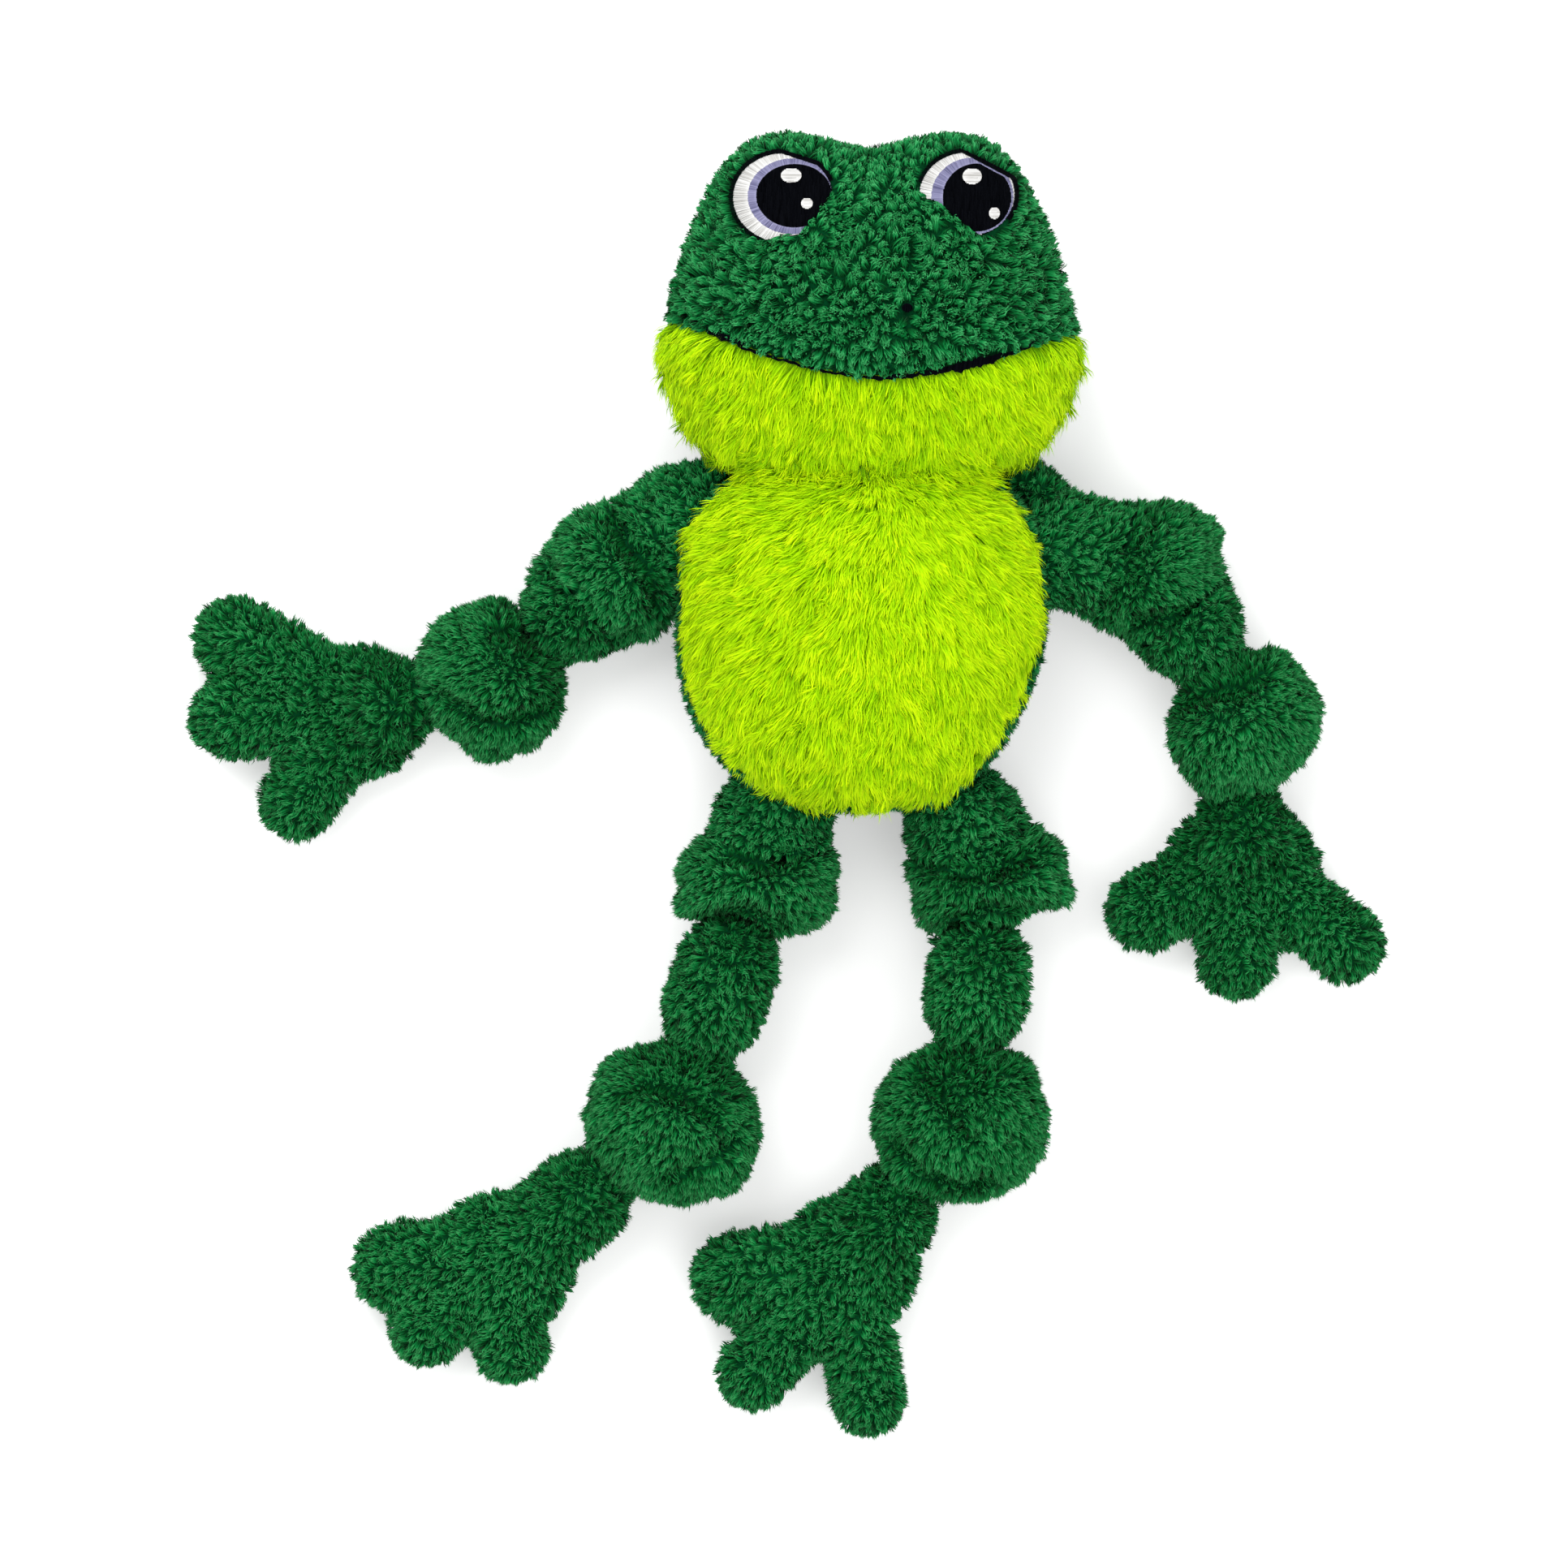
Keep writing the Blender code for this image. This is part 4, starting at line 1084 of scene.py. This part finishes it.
def crown_size(roots):
    size = 0.80 + 0.32 * ramp(roots[:, 1], *CROWN_TOP)
    above_line = np.abs(roots[:, 1] - mouth_level(roots[:, 0])) < ABOVE_MOUTH_REACH
    thick = np.clip(mouth_thickness(roots[:, 0]) / (5 * PIXEL), 0.0, 1.0)
    return size * (1 - 0.5 * above_line * thick)


# Painted sheen: the crown's pile is lighter towards the top
def crown_tone(points):
    return plain_tone(points) + 0.16 * ramp(points[:, 1], *CROWN_SHEEN)


def chin_flow(points):
    flow = fanned(points, HEAD.centre[0], HEAD.half_width, 0.9, -1.0)
    return wander(unit_rows(flow), points, 0.3)


def build_head():
    """The head's cloth and pile. It returns the cloth's surface, for the stitches."""
    green = head_surface(FLEECE_INSET)
    lime = head_surface(LIME_INSET)
    crown = part_of(green, ~is_chin(middles(green)))
    chin = part_of(lime, is_chin(middles(lime)))
    crown_cloth = new_cloth("head_crown_cloth", crown, GREEN_CLOTH)
    chin_cloth = new_cloth("chin_panel_cloth", chin, LIME_CLOTH)
    own = ("head_crown", "chin_panel")
    in_front = middles(crown)[:, 2] >= CHIN_SEAM
    crown_front = part_of(crown, in_front)
    # The crease under the nostril is painted shade and shorter pile on the crown; its cloth is not dented
    # there
    crown_front = crown_front._replace(hollow=folded("head_crown", crown_front.points)[0])
    crown_back = part_of(crown, ~in_front)
    crown_pile = grow(
        "head_crown_pile", crown_front, CURLED, CROWN_PILE, crown_flow, crown_tone, own,
        crown_keep, crown_size,
    )
    back_pile = grow("head_back_pile", crown_back, CURLED, CROWN_PILE, crown_flow, plain_tone, own)
    chin_pile = grow("chin_panel_pile", chin, LONG, LIME_PILE, chin_flow, plain_tone, own)
    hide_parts("head_crown", "head_stuffing")
    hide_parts("chin_panel")
    ride_all(
        "head",
        (crown_cloth, "crown_fleece"), (chin_cloth, "lime_pile"), (crown_pile, "crown_fleece"),
        (back_pile, "crown_fleece"), (chin_pile, "lime_pile"),
    )
    return green


# Embroidery

# Each stitch's width and height over the cloth, and the distance to the next one in pixels
Stitch = namedtuple("Stitch", "width lift pitch")
WHITE_STITCH = Stitch(0.00046, 0.0007, 1.15)
LILAC_STITCH = Stitch(0.00044, 0.0008, 1.15)
PUPIL_STITCH = Stitch(0.00046, 0.0009, 1.25)
RIM_STITCH = Stitch(0.00044, 0.0010, 1.1)
GLINT_STITCH = Stitch(0.00046, 0.0014, 1.15)
MOUTH_STITCH = Stitch(0.00052, 0.0022, 1.24)
UNDER_STITCH = Stitch(0.0006, 0.0018, 1.2)
OVER_STITCH = Stitch(0.0006, 0.0022, 1.4)
# How much the tones of stitches differ, how light the first end is, and how high the ridge is as a share
# of the stitch's width
STITCH_TONE_SPREAD = 0.22
FIRST_END_LIGHT = 0.25
RIDGE_SHARE = 0.42
END_RIDGE_SHARE = 0.12
# Stitches in rows: their length in pixels, a row's shift as a share of it, and how far they sway, in pixels
PUPIL_STITCH_LENGTH = 13.0
WHOLE_ROW = 60.0
ROW_SHIFT = 0.37
STITCH_SWAY = 0.12
# The edges of an eye's parts, in pixels: how far they keep within one another or reach over
RING_INSET = 0.8
PUPIL_INSET = 2.2
WHITE_INSET = 0.5
LILAC_OVERLAP = 0.3
RIM_OVERLAP = 0.6
RIM_WIDTH = 4.5
LID_OVERLAP = 3.0
# Stitches round a pupil, in pixels: where their pitch counts, and for both ends the least shift and what
# chance adds to it
PITCH_RADIUS = 50
SHORTEST_STITCH = 0.6
NEAR_CHANCE = (-0.3, 0.5)
FAR_CHANCE = (-0.45, 0.9)
# The black backing under an eye's stitches
PATCH_LIFT = 0.0005
PATCH_TONE = 0.4
PATCH_RINGS = 8
PATCH_SPOKES = 72
# How high above the head's middle the mouth lies, how far a stitch slants, and how the line wavers
MOUTH_HEIGHT = 0.035
STITCH_SLANT = 0.0003
MOUTH_LEVELS = (-1.0, -0.35, 0.35, 1.0)
MOUTH_WAVES = ((0.00022, 640, 0.0), (0.00018, 1510, 1.0))
MOUTH_ROUGHNESS = 0.00006
NOSTRIL_RIDGE = 3.5


class Skin:
    """The head's cloth, onto which stitches are laid from where the camera sees them."""

    def __init__(self, surface):
        self.tree = BVHTree.FromPolygons(surface.points.tolist(), surface.faces.tolist())

    def spot(self, seen, lift):
        start = Vector(CAMERA_PLACE)
        aim = Vector((seen[0], seen[1], FOCUS_HEIGHT)) - start
        place, normal, _, _ = self.tree.ray_cast(start, aim.normalized())
        if place is None:
            return None
        return np.array(place + normal * lift), np.array(normal)


def threads(skin, paths, stitch, rng):
    """Stitches along paths of seen places: each is a ridged strip whose ends dip to the cloth."""
    points, corners, places = [], [], []
    for path in paths:
        found = [skin.spot(seen, stitch.lift) for seen in path]
        if any(spot is None for spot in found):
            continue
        tone = float(np.clip(0.5 + STITCH_TONE_SPREAD * rng.normal(), *TONE_LIMITS))
        start = len(points)
        last = len(found) - 1
        for index, (place, normal) in enumerate(found):
            step = found[min(index + 1, last)][0] - found[max(index - 1, 0)][0]
            side = np.cross(step, normal)
            side *= stitch.width / 2 / max(np.linalg.norm(side), 1e-9)
            ridge = stitch.width * (RIDGE_SHARE if 0 < index < last else END_RIDGE_SHARE)
            points += [place - side, place + normal * ridge, place + side]
            along = index / last
            level = min(TONE_LIMITS[1], tone + FIRST_END_LIGHT * (index == 0))
            places += [(level + shift, along) for shift in (-0.01, 0.0, 0.01)]
        for index in range(last):
            first = start + 3 * index
            corners += [first, first + 1, first + 4, first + 3]
            corners += [first + 1, first + 2, first + 5, first + 4]
    return points, corners, places


def radial_paths(eye, inner, outer, stitch, rng, spread=None, levels=4):
    """Paths between two edges round a pupil. Each edge gives pixels from its middle at an angle."""
    around = 2 * math.pi * PITCH_RADIUS / stitch.pitch
    paths = []
    for number in range(int(around)):
        angle = 2 * math.pi * (number + 0.25 * rng.random()) / around
        degrees = math.degrees(angle)
        if spread and not (spread[0] <= degrees <= spread[1] or spread[0] <= degrees - 360 <= spread[1]):
            continue
        near, far = float(inner(angle)), float(outer(angle))
        if far - near < 2 * SHORTEST_STITCH:
            continue
        near += NEAR_CHANCE[0] + NEAR_CHANCE[1] * rng.random()
        far += FAR_CHANCE[0] + FAR_CHANCE[1] * rng.random()
        far = min(far, to_fleece(eye, angle))
        if far - near < SHORTEST_STITCH:
            continue
        reaches = [near + (far - near) * level / (levels - 1) for level in range(levels)]
        paths.append([polar(eye.pupil[0], angle, reach) for reach in reaches])
    return paths


def filled_paths(shape, upright, stitch, length, rng, reach=None, cut=None, floor=None):
    """Rows of short stitches that fill an ellipse, each row shifted against the last."""
    across_axis, along_axis = (0, 1) if upright else (1, 0)
    middle, half = shape
    reach = reach or half[across_axis]
    low = middle[across_axis] - reach
    rows = int((middle[across_axis] + reach - low) / stitch.pitch)
    paths = []
    for row in range(rows + 1):
        across = low + row * stitch.pitch
        share = (across - middle[across_axis]) / half[across_axis]
        if abs(share) >= 0.99:
            continue
        chord = math.sqrt(1 - share * share) * half[along_axis]
        first, last = middle[along_axis] - chord, middle[along_axis] + chord
        if cut is not None:
            first = max(first, cut(across))
            last = min(last, floor(across))
        if last - first <= 1.0:
            continue
        at = first - length * ((row * ROW_SHIFT) % 1.0)
        while at < last:
            a, b = max(at, first), min(at + length, last)
            at += length
            if b - a < 1.0:
                continue
            path = []
            for level in range(4):
                along = a + (b - a) * level / 3
                sway = STITCH_SWAY * rng.normal()
                spot = (across + sway, along) if upright else (along, across + sway)
                path.append(in_picture(*spot))
            paths.append(path)
    return paths


def join_threads(name, node, groups):
    """One object in place of a node, from groups of points, corners and places, each with a material."""
    points, corners, places, slots, materials = [], [], [], [], []
    for (group_points, group_corners, group_places), material in groups:
        if material not in materials:
            materials.append(material)
        corners += [len(points) + corner for corner in group_corners]
        slots += [materials.index(material)] * (len(group_corners) // 4)
        points += group_points
        places += group_places
    sizes = np.full(len(slots), 4)
    item = new_item(name, np.array(points), np.array(corners), sizes, materials, slots)
    set_map(item, np.array(places))
    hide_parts(node)
    ride_all("head", (item, "thread"))


def patch(skin, eye):
    """The backing of an eye: a fine skin over the cloth that fills its outline."""
    rings, spokes = PATCH_RINGS, PATCH_SPOKES
    points, corners, places = [], [], []
    for ring in range(rings + 1):
        for spoke in range(spokes):
            angle = 2 * math.pi * spoke / spokes
            reach = min(float(eye_edge(eye, angle)), to_fleece(eye, angle)) * (max(ring, 0.02) / rings)
            lift = PATCH_LIFT if ring < rings else 0.0
            points.append(skin.spot(polar(eye.pupil[0], angle, reach), lift)[0])
            places.append((PATCH_TONE + 0.002 * spoke / spokes, ring / rings))
    for ring in range(rings):
        for spoke in range(spokes):
            after = (spoke + 1) % spokes
            corners += [ring * spokes + spoke, (ring + 1) * spokes + spoke]
            corners += [(ring + 1) * spokes + after, ring * spokes + after]
    return points, corners, places


def build_eye(skin, side, eye):
    rng = seeded(f"eye_{side}")
    centre = eye.pupil[0]
    (first_x, first_y), (second_x, second_y) = eye.lid

    def edge(angle):
        return eye_edge(eye, np.array(angle))

    def ring(angle):
        return min(to_ellipse(centre, angle, eye.ring), edge(angle) - RING_INSET)

    def pupil(angle):
        return min(to_ellipse(centre, angle, eye.pupil), edge(angle) - PUPIL_INSET)

    def under_lid(x):
        return first_y + (x - first_x) * (second_y - first_y) / (second_x - first_x) + LID_OVERLAP

    def above_fleece(x):
        return float(fleece_level(eye, x)) + FLEECE_OVERLAP

    white = radial_paths(eye, ring, lambda angle: edge(angle) - WHITE_INSET, WHITE_STITCH, rng)
    lilac = radial_paths(eye, pupil, lambda angle: ring(angle) + LILAC_OVERLAP, LILAC_STITCH, rng)
    black = filled_paths(
        eye.pupil, True, PUPIL_STITCH, PUPIL_STITCH_LENGTH, rng, cut=under_lid, floor=above_fleece
    )
    rim = radial_paths(
        eye, lambda angle: edge(angle) - RIM_OVERLAP, lambda angle: edge(angle) + RIM_WIDTH, RIM_STITCH,
        rng, eye.outlined, 3,
    )
    groups = [
        (patch(skin, eye), BLACK_THREAD),
        (threads(skin, white, WHITE_STITCH, rng), WHITE_THREAD),
        (threads(skin, lilac, LILAC_STITCH, rng), LILAC_THREAD),
        (threads(skin, black, PUPIL_STITCH, rng), BLACK_THREAD),
        (threads(skin, rim, RIM_STITCH, rng), BLACK_THREAD),
    ]
    for shape in eye.glints:
        glint = filled_paths(shape, False, GLINT_STITCH, WHOLE_ROW, rng)
        groups.append((threads(skin, glint, GLINT_STITCH, rng), WHITE_THREAD))
    join_threads(f"eye_{side}_stitches", f"eye_{side}", groups)


def build_mouth(skin):
    rng = seeded("mouth")
    paths = []
    half = MOUTH_HALF_WIDTH * MOUTH_LINE_SHARE
    steps = int(2 * half / (MOUTH_STITCH.pitch * PIXEL))
    for number in range(steps + 1):
        x = HEAD.centre[0] - half + 2 * half * number / steps
        thin = float(mouth_thickness(x)) + MOUTH_ROUGHNESS * rng.normal()
        y = float(mouth_level(x))
        for size, speed, phase in MOUTH_WAVES:
            y += size * math.sin(x * speed + phase)
        path = []
        for share in MOUTH_LEVELS:
            place = np.array([[x + STITCH_SLANT * share, y + thin * share, HEAD.centre[2] + MOUTH_HEIGHT]])
            path.append(tuple(seen_at(place)[0]))
        paths.append(path)
    groups = [(threads(skin, paths, MOUTH_STITCH, rng), BLACK_THREAD)]
    join_threads("mouth_line_stitches", "mouth_line", groups)


def build_nostril(skin):
    rng = seeded("nostril")
    under = filled_paths(NOSTRIL, False, UNDER_STITCH, WHOLE_ROW, rng)
    over = filled_paths(NOSTRIL, True, OVER_STITCH, WHOLE_ROW, rng, NOSTRIL_RIDGE)
    groups = [
        (threads(skin, under, UNDER_STITCH, rng), BLACK_THREAD),
        (threads(skin, over, OVER_STITCH, rng), BLACK_THREAD),
    ]
    join_threads("nostril_stitches", "nostril", groups)


# Limbs

# Both chains of a side start inside the torso
CHAINS_START = (0.0, 0.02, 0.04)
# A piece is combed from a point above its middle, this share of the way to the piece before it
SOURCE_HEIGHT = 0.010
KNOT_SOURCE_SHARE = 0.5
TUBE_SOURCE_SHARE = 0.9
# The combing grows between these distances from that point
COMBED_NEAR = 0.006
KNOT_COMBED_FAR = 0.034
TUBE_COMBED_FAR = 0.045
PAW_COMBED_FAR = 0.085
# In a fold the pile is combed less from its source and more away from the fold
FOLD_UNCOMBED = 0.6
FOLD_COMBED = 0.9
# A bunch beside the neck is combed from a point this far towards the feet
BUNCH_SOURCE_DROP = 0.02


def soft_cloth(name, surface):
    """Cloth without a thickness, all round a closed surface."""
    faces = surface.faces
    return new_item(name, surface.points, faces.ravel(), np.full(len(faces), 3), [GREEN_CLOTH])


def build_limb_piece(node, previous, pile, share, far):
    """Cloth and pile of one piece of a limb, brushed away from where the piece before it ends."""
    surface = limb_surface(node, LIMB_INSET)
    cloth = soft_cloth(f"{node}_cloth", surface)
    middle = middle_of(node)
    source = middle + (previous - middle) * share
    source[2] = middle[2] + SOURCE_HEIGHT
    away_from, middle_tone = flow_from(source, COMBED_NEAR, far)

    def tone(points):
        return middle_tone(points) + TONE_SHIFTS.get(node, 0.0)

    def flow(points):
        depth, away = folded(node, points)
        combed = away_from(points) * (1 - FOLD_UNCOMBED * depth)[:, None]
        return combed + away * (FOLD_COMBED * depth**0.5)[:, None]

    fur = grow(f"{node}_pile", surface, pile, LIMB_PILE, flow, tone, (node,))
    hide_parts(node)
    ride_all(BODY_OF[node], (cloth, "limb_fleece"), (fur, "limb_fleece"))


def build_limbs():
    chains = (
        ("arm_sleeve", "arm_upper_knot", "arm_tube", "arm_lower_knot", "hand"),
        ("leg_sleeve", "leg_upper_knot", "leg_shin", "leg_lower_knot", "foot"),
    )
    for side in ("left", "right"):
        for chain in chains:
            previous = np.array(CHAINS_START)
            for piece in chain:
                node = f"{side}_{piece}"
                if piece.endswith("knot"):
                    build_limb_piece(node, previous, COMBED, KNOT_SOURCE_SHARE, KNOT_COMBED_FAR)
                else:
                    far = PAW_COMBED_FAR if piece in ("hand", "foot") else TUBE_COMBED_FAR
                    build_limb_piece(node, previous, FINE, TUBE_SOURCE_SHARE, far)
                previous = middle_of(node)


def build_bunches():
    """The fleece that is bunched up beside the neck, between the torso and each sleeve."""
    for side, bunch in BUNCHES.items():
        sleeve = f"{side}_arm_sleeve"
        units, faces = ball(SMALL_DIVISIONS)
        points = units * bunch.half_sizes
        turned = math.radians(bunch.degrees)
        x = points[:, 0] * math.cos(turned) - points[:, 1] * math.sin(turned)
        y = points[:, 0] * math.sin(turned) + points[:, 1] * math.cos(turned)
        middle = np.array([*in_picture(*bunch.middle), bunch.height])
        surface = surface_of(np.stack([x, y, points[:, 2]], 1) + middle, faces)
        cloth = soft_cloth(f"{side}_shoulder_cloth", surface)
        source = middle - [0.0, BUNCH_SOURCE_DROP, 0.0]
        flow, tone = flow_from(source, COMBED_NEAR, TUBE_COMBED_FAR)
        own = (sleeve, "torso_back", "belly_panel")
        fur = grow(f"{side}_shoulder_pile", surface, FINE, LIMB_PILE, flow, tone, own)
        for item in (cloth, fur):
            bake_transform(item)


# Floor, light and camera

CAMERA_RANGE = 60.0
FLOOR_SIDE = 14.0
FLOOR_GLOW = 0.35
SKY_LIGHT = 0.93
SKY_SEEN_EXTRA = 0.07
# Each lamp's name, place, size and power
LAMPS = (("key", (-0.6, 0.9, 1.7), 1.2, 18.0), ("fill", (0.8, -0.7, 1.7), 1.4, 9.5))


def level_where_seen(tree, seen, always):
    """A level that is higher where the surface is looked at, directly, in a gloss or through glass."""
    rays = tree.nodes.new("ShaderNodeLightPath")
    mirrored, shown, level = (tree.nodes.new("ShaderNodeMath") for _ in range(3))
    mirrored.operation = "ADD"
    shown.operation = "ADD"
    level.operation = "MULTIPLY_ADD"
    level.inputs[1].default_value = seen
    level.inputs[2].default_value = always
    link(rays, "Is Glossy Ray", mirrored, 0)
    link(rays, "Is Transmission Ray", mirrored, 1)
    link(rays, "Is Camera Ray", shown, 0)
    link(mirrored, "Value", shown, 1)
    link(shown, "Value", level, 0)
    return level


def build_stage():
    material, tree, shader = new_material("pale_floor")
    set_inputs(shader, {"Base Color": (0.86, 0.86, 0.86, 1.0), "Roughness": 0.9})
    glow = tree.nodes.new("ShaderNodeEmission")
    glow.inputs["Color"].default_value = (1.0, 1.0, 1.0, 1.0)
    both = tree.nodes.new("ShaderNodeAddShader")
    link(level_where_seen(tree, FLOOR_GLOW, 0.0), "Value", glow, "Strength")
    link(shader, "BSDF", both, 0)
    link(glow, "Emission", both, 1)
    link(both, "Shader", tree.nodes["Material Output"], "Surface")
    corners = np.array([[-1, -1, 0], [1, -1, 0], [1, 1, 0], [-1, 1, 0]]) * FLOOR_SIDE
    floor = new_item("floor", corners, np.arange(4), np.array([4]), [material])
    floor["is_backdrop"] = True

    world = bpy.data.worlds.new("studio")
    world.use_nodes = True
    sky = world.node_tree.nodes["Background"]
    sky.inputs["Color"].default_value = (1.0, 1.0, 1.0, 1.0)
    link(level_where_seen(world.node_tree, SKY_SEEN_EXTRA, SKY_LIGHT), "Value", sky, "Strength")
    bpy.context.scene.world = world

    for name, place, size, power in LAMPS:
        light = bpy.data.lights.new(name, "AREA")
        light.energy = power
        light.size = size
        item = bpy.data.objects.new(name, light)
        item.location = place
        item.rotation_euler = (-Vector(place)).to_track_quat("-Z", "Y").to_euler()
        bpy.context.scene.collection.objects.link(item)

    camera = bpy.data.cameras.new("camera")
    camera.lens = LENS
    camera.sensor_width = SENSOR
    camera.clip_end = CAMERA_RANGE
    item = bpy.data.objects.new("camera", camera)
    item.location = CAMERA_PLACE
    bpy.context.scene.collection.objects.link(item)
    bpy.context.scene.camera = item
    bpy.context.scene.view_settings.view_transform = "Standard"


build_stage()
build_torso()
build_neck()
skin = Skin(build_head())
for side, eye in EYES.items():
    build_eye(skin, side, eye)
build_mouth(skin)
build_nostril(skin)
build_limbs()
build_bunches()

sizes = {"cad": CAD_BOX, "visual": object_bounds()}
{name: [list(map(float, corner)) for corner in box] for name, box in sizes.items()}
